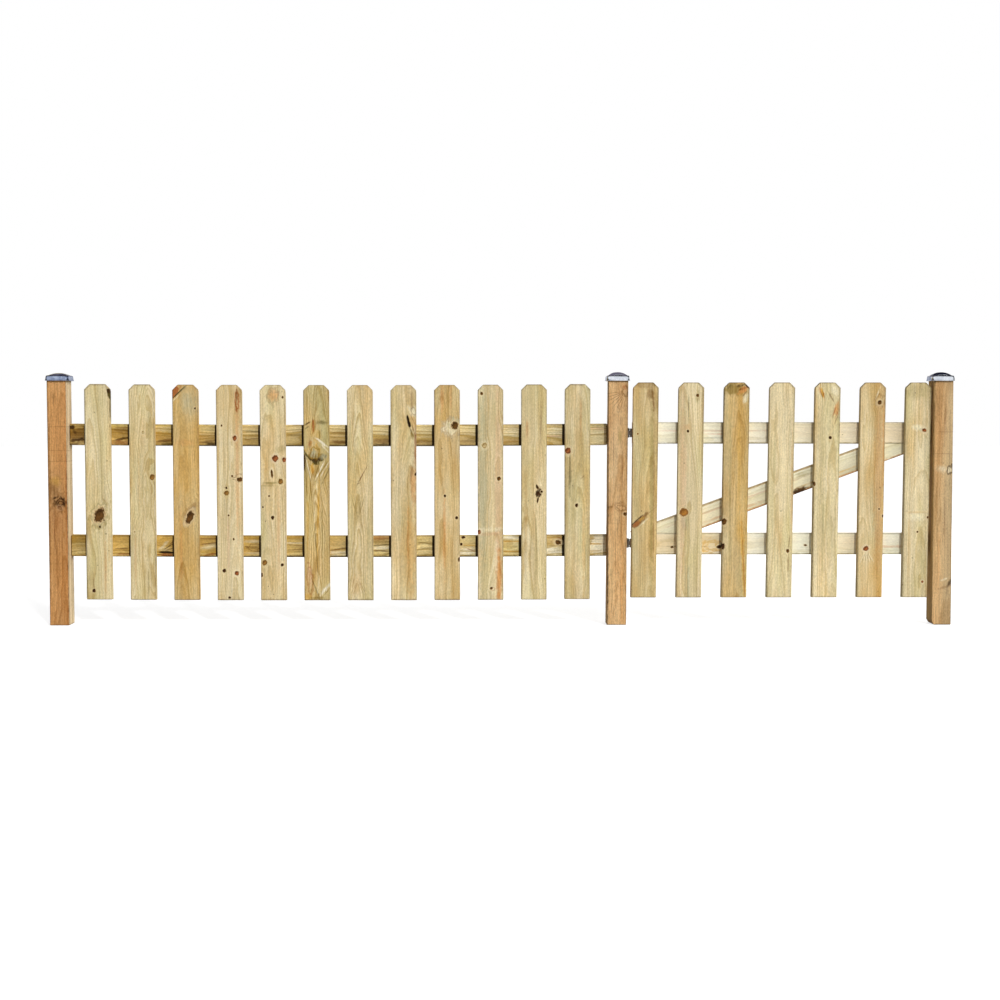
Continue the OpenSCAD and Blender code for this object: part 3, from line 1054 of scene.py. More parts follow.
LEFT_POST = Figure(1.3, (12, 60), warmth=0.95, green=0.0, light=0.99,
    knots=(
        Blemish.BURL(7, 456, 8, 6, 20, 0.3),),
    stains=(
        Tint.UMBER(-8, 505, 34, 60, 0.34, 0, 1, 2), Tint.RUST(-6, 395, 30, 60, 0.26, 0, 1, 2),
        Tint.HONEY(-10, 536, 22, 18, 0.45, 0, 0.9), Tint.UMBER(-18, 508, 12, 30, 0.6, 8, 0.9),
        Tint.UMBER(6, 458, 30, 26, 0.5, 0, 1, 2), Tint.BARK.ring(6, 457, 25, 17, 0.9, -12, 0.7),
        Tint.BARK.ring(9, 455, 13, 9, 0.85, 10, 0.6), Tint.BARK(-10, 474, 5, 12, 0.9, 70),
        Tint.BARK(14, 472, 3.5, 12, 0.85, -30), Tint.BARK(22, 450, 3.5, 14, 0.8, -12),
        Tint.UMBER(13, 432, 3.5, 18, 0.9), Tint.UMBER(-14, 452, 3, 14, 0.7, 30),
        # the pale band on the right side face (across 38.5) is painted light: that face made paler
        # as if lit
        Tint.UMBER.ring(2, 460, 42, 40, 0.35), Tint.PALE(38.5, 460, 4.5, 1500, 0.62, 0, 0.3, 0.1),
        Tint.RUST(30, 480, 3, 420, 0.4), Tint.SAW_LINE(0, 737, 60, 1.2),
        Tint.SAW_LINE(0, 649, 60, 1), Tint.SAW_LINE(0, 610, 60, 1.2),
        # the umber down the left edge (across -33) is painted shade of the post's left side
        Tint.SAW_LINE(0, 544, 60, 1, 0.4), Tint.UMBER(-33, 500, 6, 420, 0.55),
        Tint.UMBER(-28, 520, 8, 70, 0.5, 0, 1), Tint.UMBER(-10, 270, 24, 110, 0.14, 0, 1, 0.4),
        Tint.BARK(-12, 840, 1.3, 30, 0.7), Tint.SAW_LINE(6, 600, 1.6, 70),
        Tint.SAW_LINE(-14, 330, 1.6, 60), Tint.SAW_LINE(14, 260, 1.6, 90),
        Tint.ORANGE(10, 200, 10, 160, 0.3)))

HINGE_POST = Figure(2.7, (-8, 55), warmth=0.3, green=0.12, light=1.04, wave=1.6,
    knots=(
        Blemish.BROWN(30, 432, 7, 6, 0, 0.3),),
    stains=(
        Tint.PALE(-8, 640, 24, 210, 0.24, 0, 1, 0.4), Tint.UMBER(34, 800, 6, 240, 0.25, 0, 1),
        *Tint.UMBER.fan(30, 868, range(186, 266, 11), 6, 74, 0.6),
        Tint.UMBER.ring(28, 868, 14, 22, 0.7, 10), Tint.RUST(26, 884, 10, 10),
        Tint.UMBER.ring(16, 436, 17, 13, 0.7, 20), Tint.UMBER.ring(12, 438, 30, 22, 0.45, 20),
        Tint.UMBER(-24, 440, 9, 5, 0.6), Tint.BARK(2, 372, 1.3, 26, 0.6, 2),
        Tint.OLIVE(8, 700, 9, 26), Tint.SAW_LINE(-14, 640, 1.6, 80),
        Tint.SAW_LINE(18, 560, 1.6, 60), Tint.SAW_LINE(-6, 260, 1.6, 90),
        # the near-black line down the left arris (across -36) is painted shade of the post's left
        # side, on the front skin
        Tint.ORANGE(18, 120, 7, 150), Tint.TAR(-36, 450, 3.5, 470, 0.8, skin=True)))

LATCH_POST = Figure(3.9, (16, 48), warmth=0.35, green=0.2, light=1.0,
    stains=(
        Tint.UMBER(30, 460, 15, 1500, 0.22, 0, 1, 0.2),
        Tint.GREY(22, 460, 30, 1500, 0.36, 0, 1, 0.2), Tint.PALE(-2, 580, 25, 13, 0.5, 8, 1),
        Tint.BARK.ring(25, 578, 13, 20, 0.8, 20, 0.7), Tint.PALE(24, 578, 7, 13, 0.5, 20),
        Tint.BARK(30, 156, 7, 17, 0.8, 25), Tint.PALE(10, 170, 17, 4, 0.5, -20),
        Tint.UMBER(8, 140, 22, 5, 0.4, -20), Tint.UMBER(-22, 830, 14, 80, 0.35),
        Tint.SAW_LINE(0, 718, 60, 1.1), Tint.SAW_LINE(0, 637, 60, 1.1),
        Tint.SAW_LINE(4, 760, 1.6, 60), Tint.SAW_LINE(8, 400, 1.6, 90),
        # the amber band on the left side face (across -38) is painted light, making that face paler
        # than its lighting gives
        Tint.AMBER(-38, 460, 4, 1500, 0.6, 0, 0.3, 0.1), Tint.ORANGE(-12, 240, 5, 120, 0.3)))

FENCE_PICKETS = (
    Figure(11.2, (-30, 60), green=0.3, light=1.0,
        knots=(
            Blemish.BROWN(1.5, 322, 17, 25, 22, 0.65, 2.1), Blemish.BLACK(3, 278, 3, 4, 0, 0),
            Blemish.BLACK(18, 303, 2, 2.5, 0, 0), Blemish.BLACK(-22, 40, 5.5, 6, 0, 0.4)),
        stains=(
            Tint.OLIVE.ring(2, 314, 33, 50, 0.85, 15, 0.74),
            Tint.MOSS(46, 757, 7, 28, 1, -18, 0.25), Tint.BARK(43, 775, 7, 10, 0.9, -45, 0.3),
            Tint.MOSS(46, 722, 3.5, 60, 0.7), Tint.UMBER(-22, 62, 2.5, 34, 0.45),
            Tint.MOSS(2, 288, 3, 16, 0.7, -8), Tint.MOSS(25, 247, 3, 3, 0.7),
            Tint.MOSS(35, 184, 2.5, 3, 0.7), Tint.MOSS(-7, 130, 2.5, 3, 0.6),
            Tint.MOSS(32, 518, 3, 4, 0.6), Tint.ORANGE(22, 130, 5, 100, 0.4),
            Tint.AMBER(37, 200, 4, 90, 0.4))),
    Figure(12.9, (20, 75), green=0.2, light=0.99, ring=1.2, wave=2.2,
        knots=(
            Blemish.OLIVE(37, 463, 9, 10, 0, 0.5, 2), Blemish.PALE(-30, 259, 3, 4),
            Blemish.PALE(5, 629, 4, 5, 0, 0.4)),
        stains=(
            Tint.ORANGE(-28, 150, 5, 110, 0.3), Tint.AMBER(-12, 420, 5, 150, 0.3),
            Tint.OLIVE(30, 660, 8, 70, 0.3), Tint.OLIVE(20, 60, 4, 60, 0.35))),
    Figure(13.4, (-12, 70), warmth=0.72, green=0.15, light=0.93,
        knots=(
            Blemish.BLACK(37, 717, 3, 4, 0, 0.4), Blemish.BROWN(13, 314, 11, 25, 25, 0.8, 1.9)),
        stains=(
            Tint.RUST(-40, 774, 16, 34, 0.95, 42, 0.25),
            Tint.BARK(-24, 770, 2.5, 32, 0.95, 45, 0.3), Tint.MOSS(-16, 776, 3, 30, 0.7, 48, 0.4),
            Tint.PALE(-32, 752, 2, 26, 0.6, 44, 0.4), Tint.UMBER(28, 346, 14, 28, 0.6, 35, 0.9),
            Tint.ORANGE(0, 585, 34, 12, 0.3), Tint.GREY(12, 738, 34, 50, 0.6, 0, 1),
            Tint.UMBER.ring(12, 314, 20, 38, 0.45, 25), Tint.ORANGE(-20, 180, 6, 140, 0.4),
            Tint.AMBER(30, 560, 5, 130, 0.4))),
    Figure(14.6, (25, 65), warmth=0.15, light=0.99,
        knots=(
            Blemish.BROWN(-27, 654, 3, 4), Blemish.RED(21, 607, 7, 9, 0, 0.6, 2.2),
            Blemish.BROWN(11, 467, 3.5, 4), Blemish.BROWN(38, 454, 9, 8),
            Blemish.OLIVE(-11, 404, 8, 9, 0, 0.5), Blemish.BLACK(-11, 423, 3.5, 4, 0, 0.2),
            Blemish.BROWN(-4, 321, 3, 3.5), Blemish.BROWN(14, 232, 3, 4),
            Blemish.BLACK(-22, 115, 6, 6, 0, 0.45), Blemish.RED(25, 105, 7, 7.5, 0, 0.55),
            Blemish.BLACK(-3, 14, 5, 4, 0, 0.2)),
        stains=(
            Tint.ORANGE(30, 500, 7, 290, 0.45), Tint.RUST.ring(31, 738, 9, 40, 0.85, 0, 0.6),
            Tint.UMBER(30, 755, 4, 30, 0.7), Tint.UMBER(20, 457, 16, 2, 0.75, -6),
            Tint.UMBER(24, 447, 14, 1.8, 0.6, 12), Tint.UMBER.ring(36, 455, 17, 18, 0.5),
            Tint.UMBER(-12, 417, 12, 2, 0.5, 20), Tint.PALE(-30, 500, 9, 160),
            Tint.PINK(-5, 209, 5, 120, 0.4))),
    Figure(15.8, (-22, 80), warmth=0.1, light=1.0,
        knots=(
            Blemish.BROWN(38, 758, 3, 4), Blemish.RED(9, 532, 10, 10.5, 0, 0.75, 2.3),
            Blemish.RED(42, 526, 6, 9, 0, 0.4), Blemish.BROWN(-4, 475, 4, 13, -4, 0.7, 2.4),
            Blemish.OLIVE(28, 446, 8.5, 9, 0, 0.5), Blemish.BROWN(-15, 392, 3, 3.5),
            Blemish.BLACK(-38, 351, 2.5, 3), Blemish.BLACK(-2, 312, 5.5, 6.5, 0, 0.7),
            Blemish.OLIVE(-33, 144, 8, 9, 0, 0.5), Blemish.BLACK(32, 136, 4.5, 5),
            Blemish.BROWN(-44, 98, 4, 7)),
        stains=(
            Tint.ORANGE(2, 760, 20, 24, 0.65), Tint.UMBER.ring(2, 758, 26, 34, 0.4),
            Tint.OLIVE(-8, 436, 34, 4, 0.75, 0, 0.5), Tint.OLIVE(-14, 426, 30, 5, 0.45),
            Tint.PALE(-4, 475, 9, 17, 0.7), Tint.OLIVE(28, 560, 20, 14, 0.4, -30),
            Tint.ORANGE(20, 250, 6, 170, 0.35), Tint.BARK(-20, 50, 2, 2.5, 0.7),
            Tint.BARK(0, 21, 2, 2.5, 0.7))),
    Figure(16.3, (4, 38), green=0.7, warmth=0.35, light=0.97, ring=2.3, wave=2.0, taper=3.0,
        stains=(
            Tint.MOSS(22, 660, 22, 7, 0.6, 4), Tint.BARK(-32, 656, 12, 3, 0.8, -32),
            Tint.MOSS(-33, 642, 10, 4, 0.6, -40), Tint.HONEY(-12, 636, 9, 40, 0.45),
            Tint.RUST(-11, 651, 4, 26, 0.85, 0, 0.5), Tint.HONEY(6, 606, 13, 30, 0.4, 8),
            Tint.KHAKI(12, 612, 3, 24, 0.75), Tint.RUST(-24, 580, 9, 14, 0.6, 10, 0.7),
            Tint.MOSS(-6, 530, 32, 26, 0.95, 6, 0.3, 1.6), Tint.BARK(-8, 524, 25, 12, 0.8, 8),
            Tint.HONEY(-9, 552, 26, 26, 0.8, 0, 0.6, 1.6), Tint.KHAKI.ring(-9, 551, 21, 21, 0.9),
            Tint.GREY(-10, 547, 14, 15, 0.9, 8, 0.7, 1.8), Tint.UMBER(-12, 540, 3, 7, 0.5, 20),
            Tint.BARK(-44, 514, 6, 34, 0.95, 0, 0.4), Tint.MOSS(-34, 536, 4, 24, 0.9, -35, 0.4),
            Tint.BARK(10, 524, 7, 7, 0.7, 0, 0.7), Tint.GREY(26, 534, 13, 9, 0.6, -20, 0.9, 1.6),
            Tint.CREAM(20, 586, 5, 30, 0.85, -52, 0.4), Tint.PALE(30, 566, 4, 22, 0.85, -40),
            Tint.HONEY(-15, 488, 7, 20, 0.95, 0, 0.5), Tint.RUST(-14, 484, 3, 13, 0.55),
            Tint.CREAM(-29, 484, 2.4, 46, 0.75, -12), Tint.KHAKI(-38, 440, 2.6, 80, 0.7, -3),
            Tint.KHAKI(-22, 420, 2.6, 70, 0.7, -5), Tint.KHAKI(2, 480, 2.6, 46, 0.85, 18),
            Tint.CREAM(13, 482, 2.2, 44, 0.75, 26), Tint.KHAKI(23, 486, 2.4, 44, 0.8, 32),
            Tint.CREAM(32, 488, 2.2, 36, 0.6, 30), Tint.MOSS(38, 470, 2.4, 40, 0.55, 26),
            Tint.PALE(-1, 400, 2.2, 80, 0.45, 3), Tint.HONEY(8, 380, 4, 90, 0.6, 2),
            Tint.PALE(-9, 330, 2.4, 110, 0.4), Tint.HONEY(3, 250, 3.5, 120, 0.6, 2),
            Tint.HONEY(-34, 280, 5, 120, 0.45), Tint.KHAKI(20, 270, 2.6, 130, 0.6),
            Tint.MOSS(-2, 180, 2.4, 120, 0.5, -4), Tint.PINK(-26, 88, 9, 46, 0.6, -6),
            Tint.RUST.ring(-26, 70, 14, 60, 0.5, -6), Tint.MOSS(-4, 40, 3, 44, 0.6, -22),
            Tint.PALE(6, 60, 3, 44, 0.4, 8), Tint.HONEY(-34, 12, 16, 12, 0.6, 30),
            Tint.CREAM(30, 40, 6, 30, 0.75, 40, 0.8, 2), Tint.KHAKI(36, 30, 2, 26, 0.6, 40),
            Tint.KHAKI(0, 8, 30, 5, 0.6))),
    Figure(17.7, (-5, 34), green=0.2, light=0.99, ring=1.4, taper=2.5,
        stains=(
            Tint.UMBER(7, 462, 2.4, 42, 0.75, 28), Tint.UMBER(-6, 434, 10, 2, 0.6, -20),
            *Tint.OLIVE.fan(-8, 300, (-16, -9, 9, 16), 10, 90, 0.7, 1.6),
            Tint.AMBER(-26, 620, 4, 110, 0.3),
            *Tint.UMBER.fan(-8, 75, (152, 161, 199, 208), 4, 60, 0.5, 1.5),
            Tint.AMBER(-14, 60, 20, 46, 0.4), Tint.OLIVE(30, 250, 5, 150, 0.35))),
    Figure(18.1, (30, 58), warmth=0.25, green=0.15, light=0.95, wave=1.4,
        knots=(
            Blemish.BLACK(46, 473, 5, 5.5, 0, 0.4),),
        stains=(
            Tint.AMBER(34, 664, 14, 32, 0.75, -8), Tint.PALE(36, 702, 17, 18, 0.85, 0, 0.7, 1.6),
            Tint.UMBER.ring(37, 702, 12, 14, 0.55), Tint.UMBER(34, 672, 2, 22, 0.5, -24),
            Tint.BARK(29, 626, 3, 24, 0.65, -22), Tint.UMBER(37, 634, 2.4, 22, 0.7, -16),
            Tint.KHAKI(33, 612, 6, 16, 0.7, -14), Tint.TAR(22, 654, 6, 15, 0.98, -18, 0.35, 0.6),
            Tint.TAR(18, 668, 5, 22, 0.98, -9, 0.35, 0.4), Tint.RUST(44, 570, 4.5, 80, 0.6),
            Tint.ORANGE(37, 430, 12, 80, 0.6), Tint.UMBER(30, 470, 5, 46, 0.4, 8),
            Tint.AMBER(26, 160, 17, 170, 0.65), Tint.UMBER(32, 745, 5, 50, 0.4),
            Tint.ORANGE(16, 240, 4, 120, 0.4))),
    Figure(19.5, (-16, 66), warmth=0.55, light=0.95,
        knots=(
            Blemish.BROWN(29, 654, 12, 13, 10, 0.75, 2.2), Blemish.BLACK(-8, 392, 4, 4.5, 0, 0.5),
            Blemish.BLACK(36, 311, 4.5, 5, 0, 0.4), Blemish.BROWN(44, 155, 4, 8)),
        stains=(
            Tint.PALE(12, 640, 31, 36, 0.95, 0, 0.5), Tint.UMBER.ring(12, 640, 35, 40, 0.4),
            Tint.GREY.ring(28, 654, 20, 22, 0.8), Tint.ORANGE(-10, 240, 6, 150, 0.6),
            Tint.ORANGE(-18, 750, 7, 60, 0.55), Tint.ORANGE(14, 760, 5, 50, 0.4),
            Tint.AMBER(30, 500, 6, 110, 0.4))),
    Figure(20.2, (18, 62), warmth=0.1, light=0.99,
        knots=(
            Blemish.BROWN(-33, 772, 5, 5.5), Blemish.PALE(-22, 580, 8, 9, 0, 0.5),
            Blemish.BROWN(31, 457, 6, 6.5, 0, 0.7, 2.4), Blemish.RED(-42, 258, 5, 8),
            Blemish.BROWN(3, 48, 4, 5, 40)),
        stains=(
            Tint.GREY(-28, 420, 17, 400, 0.6), Tint.PINK(28, 441, 13, 400, 0.45),
            Tint.PALE(0, 262, 52, 9, 0.9, -3, 1), Tint.PINK(0, 246, 50, 7, 0.5, -3, 1),
            Tint.ORANGE(32, 90, 10, 110, 0.9), Tint.RUST.ring(8, 41, 9, 6, 0.7))),
    Figure(21.6, (-26, 72), green=0.25, light=1.0,
        knots=(
            Blemish.BLACK(18, 403.5, 10, 16, 12, 0.75, 2.2),
            Blemish.BLACK(12, 425.5, 4, 8, -20, 0.3), Blemish.BLACK(14, 377.5, 3, 9, 10, 0.2),
            Blemish.BLACK(29, 407.5, 4, 4)),
        stains=(
            Tint.ORANGE(-26, 640, 5, 32), Tint.OLIVE(8, 200, 5, 150, 0.4),
            Tint.AMBER(-30, 300, 6, 150, 0.4), Tint.UMBER(26, 650, 5, 90, 0.3))),
    Figure(22.4, (14, 60), green=0.3, warmth=0.15, light=0.935,
        knots=(
            Blemish.RED(-35, 561, 9, 11, 0, 0.4), Blemish.BLACK(-3, 357, 5.5, 6.5, 0, 0.7, 2.5)),
        stains=(
            Tint.MOSS(-28, 462, 5, 75, 0.65), Tint.UMBER(20, 458, 3, 12, 0.4, 40),
            Tint.AMBER(24, 200, 6, 170), Tint.ORANGE(12, 680, 5, 90, 0.35))))

GATE_PICKETS = (
    Figure(31.2, (22, 64), green=0.4, warmth=0.5, light=0.93,
        knots=(
            Blemish.OLIVE(-27, 615, 3, 3.5),),
        stains=(
            Tint.UMBER(-20, 284, 11, 37, 0.8, 48, 0.4), Tint.RUST(-28, 276, 8, 18, 0.75, 48),
            Tint.HONEY(-10, 294, 5, 18, 0.5, 48), Tint.BARK(-26, 291, 2.6, 30, 0.75, 48),
            Tint.UMBER(5, 311, 7, 16, 0.75, 50), Tint.PALE(-3, 281, 3, 26, 0.6, 48),
            Tint.UMBER(18, 317, 2.5, 36, 0.3, 48), Tint.OLIVE(26, 400, 8, 400, 0.6),
            Tint.UMBER(30, 738, 4, 44, 0.75, -4), Tint.UMBER(20, 762, 14, 22),
            Tint.UMBER(0, 792, 40, 14, 0.4), Tint.UMBER(34, 400, 2.5, 380, 0.35))),
    Figure(32.5, (-18, 78), green=0.15, light=1.0,
        knots=(
            Blemish.BLACK(-9, 624, 4, 4.5, 0, 0.4), Blemish.BROWN(26, 757, 4.5, 5.5, 0, 0.4),
            Blemish.SOFT(-22, 323, 14, 14, 0, 0.5, 1.9)),
        stains=(
            Tint.GREY(-20, 282, 15, 26, 0.7), Tint.GREY(-5, 60, 5, 80, 0.6),
            Tint.MOSS(-7, 712, 2.5, 54, 0.55), Tint.OLIVE(27, 747, 8, 22, 0.55),
            Tint.PINK(-28, 430, 14, 380, 0.45), Tint.ORANGE(-9, 634, 10, 14, 0.3),
            Tint.OLIVE(24, 80, 4, 90, 0.4))),
    Figure(33.1, (10, 50), warmth=0.48, green=0.35, light=0.94, taper=1.6,
        knots=(
            Blemish.BROWN(-41, 289, 8, 10, 0, 0.4), Blemish.BLACK(-46, 197, 7, 10, 0, 0.3)),
        stains=(
            Tint.KHAKI(-12, 776, 46, 26, 0.8, 4, 0.6, 1.6), Tint.HONEY(20, 766, 10, 10, 0.6),
            Tint.ORANGE(27, 772, 10, 24, 0.95, 62, 0.6, 1.6), Tint.RUST(30, 779, 4, 19, 0.6, 66),
            Tint.BARK(10, 788, 5, 9, 0.7, 60), Tint.BARK(14, 774, 3, 6, 0.7, 50),
            Tint.BARK(24, 790, 3, 12, 0.7, 60), Tint.BARK(40, 786, 3, 13, 0.9, -45, 0.4),
            Tint.UMBER(32, 758, 3, 14, 0.7, 40), Tint.MOSS(-26, 784, 6, 12, 0.5, 60),
            Tint.PALE(36, 742, 9, 18, 0.9, 14), Tint.BARK(-46, 740, 4, 60, 0.7),
            Tint.HONEY(13, 480, 5, 300, 0.2), Tint.HONEY(31, 120, 8, 190, 0.65, -3),
            Tint.RUST(33, 110, 2, 180, 0.6, -3), Tint.OLIVE(-20, 400, 5, 300, 0.4))),
    Figure(34.8, (-20, 70), green=0.15, light=1.01, band=0.5, ring=0.7,
        knots=(
            Blemish.BROWN(28, 179, 5, 6.5, 10, 0.5),),
        stains=(
            Tint.UMBER(30, 128, 2.5, 46, 0.7), Tint.UMBER(33, 206, 2.5, 30, 0.5, 6),
            Tint.ORANGE(42, 420, 5, 220, 0.3), Tint.OLIVE(-25, 500, 5, 170, 0.3))),
    Figure(35.4, (24, 66), green=0.3, light=1.0, band=0.7,
        knots=(
            Blemish.BLACK(14, 601, 4.5, 5, 0, 0.8), Blemish.BROWN(-44, 430, 4, 7)),
        stains=(
            Tint.HONEY(-17, 761, 5.5, 27, 0.95, -15, 0.4), Tint.UMBER(-21, 759, 1.8, 25, 0.9, -15),
            Tint.RUST(-12, 752, 2.4, 18, 0.9, -14), Tint.ORANGE(-26, 772, 5, 16, 0.5, -18),
            Tint.PALE(28, 772, 15, 22, 0.8, -30), Tint.UMBER(18, 742, 3, 30, 0.55, -30),
            Tint.ORANGE(37, 704, 9, 34, 0.8, 12), Tint.RUST(27, 690, 2.4, 26, 0.6, 16),
            Tint.RUST(36, 680, 2, 20, 0.6, 24), Tint.UMBER(34, 660, 2.5, 24, 0.5, 20),
            Tint.OLIVE(-10, 200, 6, 170, 0.35))),
    Figure(36.9, (-28, 58), warmth=0.45, light=0.97,
        knots=(
            Blemish.BROWN(27, 731, 7, 8, 30), Blemish.BROWN(30, 335, 3, 3.5),
            Blemish.BROWN(44, 309, 3.5, 5), Blemish.RED(-18, 188, 9, 8, 0, 0.8, 2.2)),
        stains=(
            Tint.ORANGE(43, 600, 4, 190, 0.6), Tint.ORANGE(26, 430, 16, 380, 0.35),
            Tint.UMBER.ring(27, 733, 18, 27, 0.5), Tint.PALE(20, 760, 3, 22, 0.7, 20),
            *Tint.PALE.fan(-16, 181, (150, 163, 176, 190, 204), 12, 58, 0.55, 2.2),
            *Tint.UMBER.fan(-16, 181, (157, 170, 183, 197), 14, 52, 0.45),
            Tint.AMBER(10, 480, 4, 200))),
    Figure(37.3, (16, 72), green=0.15, light=0.965, band=0.6, ring=0.8,
        knots=(
            Blemish.RED(26, 628, 7, 6.5, 0, 0.5), Blemish.BROWN(43, 304, 3, 4),
            Blemish.BROWN(5, 250, 3, 3.5), Blemish.RED(26, 64, 4.5, 4.5)),
        stains=(
            Tint.PALE(2, 634, 24, 12, 0.85), Tint.GREY(14, 624, 9, 7, 0.6),
            Tint.PALE(0, 301, 36, 14, 1, 0, 1), Tint.AMBER(0, 318, 34, 4, 0.4, 0, 1),
            Tint.OLIVE(0, 770, 44, 34, 0.4), Tint.AMBER(-26, 180, 5, 160, 0.35))))

FENCE_RAIL_TOP = Figure(41.7, (30, 50), green=0.5, warmth=0.25, light=1.14, wave=1.6,
    stains=(
        # the moss line along the bottom edge (across 38) is painted shade under the rail
        Tint.HONEY(0, 250, 60, 800, 0.5, 0, 1, 0.3), Tint.MOSS(38, 1000, 4, 1000, 0.75),
        Tint.PALE(0, 800, 60, 400, 0.38, 0, 1, 0.3), Tint.PALE(0, 2000, 60, 1250, 0.7, 0, 1, 0.3),
        Tint.UMBER(6, 30, 44, 60, 0.75, 0, 0.8), Tint.BARK(-29, 12, 10, 9, 0.95),
        Tint.BARK(-12, 20, 5, 12, 0.6, 60), Tint.BARK(18, 30, 7, 34, 0.9, -9, 0.5),
        Tint.BARK(32, 24, 5, 20, 0.6), Tint.UMBER(-20, 200, 14, 44),
        Tint.BARK(14, 196, 5, 40, 0.8, -10, 0.5), Tint.RUST(28, 190, 10, 44, 0.6),
        Tint.UMBER(20, 358, 6, 40, 0.8, -7), Tint.MOSS(34, 366, 9, 26, 0.7),
        Tint.PALE(-22, 350, 10, 40, 0.4), Tint.BARK(32, 522, 8, 22, 0.8),
        Tint.UMBER(24, 510, 5, 40, 0.6, -8), Tint.MOSS(-14, 684, 3, 50, 0.6, 3),
        Tint.UMBER(14, 684, 3, 50, 0.6, -4), Tint.KHAKI(0, 842, 5, 40, 0.6),
        Tint.UMBER(26, 1005, 7, 40, 0.75), Tint.UMBER(-8, 1010, 3, 40, 0.4),
        Tint.UMBER(22, 1160, 10, 50, 0.6), Tint.BARK(34, 1160, 3, 50, 0.6),
        Tint.UMBER(24, 1320, 8, 50, 0.45), Tint.UMBER(24, 1484, 9, 50, 0.3),
        Tint.PALE(-10, 1640, 26, 60, 0.6, 0, 1), Tint.AMBER(22, 1640, 8, 60),
        Tint.PALE(-6, 1800, 26, 60, 0.55, 0, 1), Tint.PINK(4, 1800, 3, 60, 0.8),
        Tint.PALE(-6, 1960, 30, 50, 0.45, 0, 1), Tint.PINK(-24, 1960, 6, 50)))

FENCE_RAIL_BOTTOM = Figure(42.3, (-22, 45), green=0.5, warmth=0.35, light=1.02, wave=2.0,
    knots=(
        Blemish.BROWN(-14, 1825, 7.5, 10, 0, 0.8, 2.4), Blemish.BLACK(-33, 1471, 5, 6.5, 0, 0.5),
        Blemish.BLACK(-7, 1463, 4.5, 5, 0, 0.5)),
    stains=(
        # the moss line along the bottom edge (across 38) is painted shade under the rail
        Tint.HONEY(0, 300, 60, 900, 0.45, 0, 1, 0.3), Tint.MOSS(38, 1000, 4, 1000, 0.75),
        Tint.PALE(0, 2000, 60, 1050, 0.36, 0, 1, 0.3), Tint.GREY(4, 30, 34, 60, 0.4),
        Tint.UMBER(8, 196, 3, 40, 0.75, -4), Tint.RUST(30, 200, 6, 40),
        Tint.PALE(-2, 345, 5, 26, 0.8, -45, 0.8, 2), Tint.PALE(12, 352, 8, 30, 0.5, 0, 1),
        Tint.BARK(0, 366, 2, 28, 0.8, -32), Tint.BARK(9, 372, 2, 22, 0.7, -20),
        Tint.UMBER(-14, 376, 2, 16, 0.7, -48), Tint.TAR(23, 360, 4.5, 44, 0.97, 2, 0.3),
        Tint.RUST(32, 356, 5, 36, 0.85), Tint.UMBER(-10, 515, 3, 44, 0.75, -6),
        Tint.PALE(2, 515, 9, 44, 0.75, -8, 1), Tint.HONEY(20, 540, 5, 24, 0.8, -20),
        Tint.RUST(30, 525, 4, 36, 0.75, -8), Tint.UMBER(-28, 515, 2.5, 44, 0.6),
        Tint.UMBER.ring(6, 684, 16, 30, 0.7), Tint.UMBER(4, 684, 7, 20, 0.4),
        Tint.CREAM(-18, 684, 6, 44), Tint.CREAM(26, 684, 4, 44, 0.4),
        Tint.CREAM(-12, 845, 3, 44, 0.6), Tint.UMBER(-3, 845, 2.5, 44, 0.7, 3),
        Tint.UMBER(12, 845, 3, 44, 0.6, -3), Tint.UMBER(10, 1002, 4, 44, 0.75, -8),
        Tint.CREAM(26, 1005, 9, 44), Tint.RUST(-31, 1158, 9, 50, 0.65),
        Tint.MOSS(-4, 1158, 2.4, 50, 0.75, -4), Tint.KHAKI(-15, 1158, 6, 50, 0.45),
        Tint.CREAM(6, 1158, 7, 50), Tint.UMBER(18, 1158, 2.4, 50, 0.65, 3),
        Tint.KHAKI(-12, 1315, 3, 50, 0.6, 9), Tint.KHAKI(10, 1315, 3, 50, 0.5, -8),
        Tint.CREAM(20, 1476, 16, 50, 0.65), Tint.RUST(14, 1490, 3, 24, 0.6, 22),
        Tint.HONEY(-2, 1486, 3, 30, 0.7), Tint.CREAM(-32, 1640, 8, 50, 0.7),
        Tint.HONEY(-18, 1640, 3, 50, 0.7), Tint.HONEY(20, 1640, 4, 50, 0.6),
        Tint.CREAM(20, 1795, 18, 50, 0.8), Tint.AMBER(-12, 1812, 10, 22, 0.9, 8, 0.8, 1.8),
        Tint.RUST(-27, 1822, 6, 12, 0.6, 20), Tint.CREAM(0, 1962, 46, 50, 0.65),
        Tint.HONEY(-8, 1956, 3, 36, 0.8), Tint.AMBER(18, 1950, 2.4, 30, 0.6)))

GATE_RAIL_TOP = Figure(43.6, (20, 60), green=0.2, warmth=0.3,
    stains=(
        Tint.OLIVE(37, 555, 3, 560, 0.6), Tint.AMBER(0, 960, 70, 520, 0.42, 0, 1, 0.3),
        Tint.ORANGE(4, 330, 3, 60, 0.45), Tint.GREY(18, 330, 3, 130, 0.4),
        Tint.PINK(-8, 300, 4, 260, 0.4)))

GATE_RAIL_BOTTOM = Figure(44.2, (-26, 55), green=0.3, warmth=0.2, wave=1.8,
    knots=(
        Blemish.BROWN(12, 158, 4, 5), Blemish.BLACK(11, 334, 5.5, 8), Blemish.BROWN(5, 657, 3, 5)),
    stains=(
        Tint.OLIVE(37, 555, 3, 560, 0.6), Tint.HONEY(0, 160, 60, 300, 0.42, 0, 1, 0.3),
        Tint.CREAM(0, 420, 70, 120, 0.7, 0, 1, 0.3), Tint.HONEY.ring(8, 296, 24, 40, 0.7),
        Tint.HONEY.ring(8, 300, 14, 24), Tint.UMBER(10, 200, 3, 70),
        Tint.ORANGE(10, 1000, 5, 120, 0.4), Tint.HONEY(0, 806, 60, 60, 0.3, 0, 1, 0.3),
        Tint.HONEY(0, 300, 60, 50, 0.22, 0, 1, 0.3)))

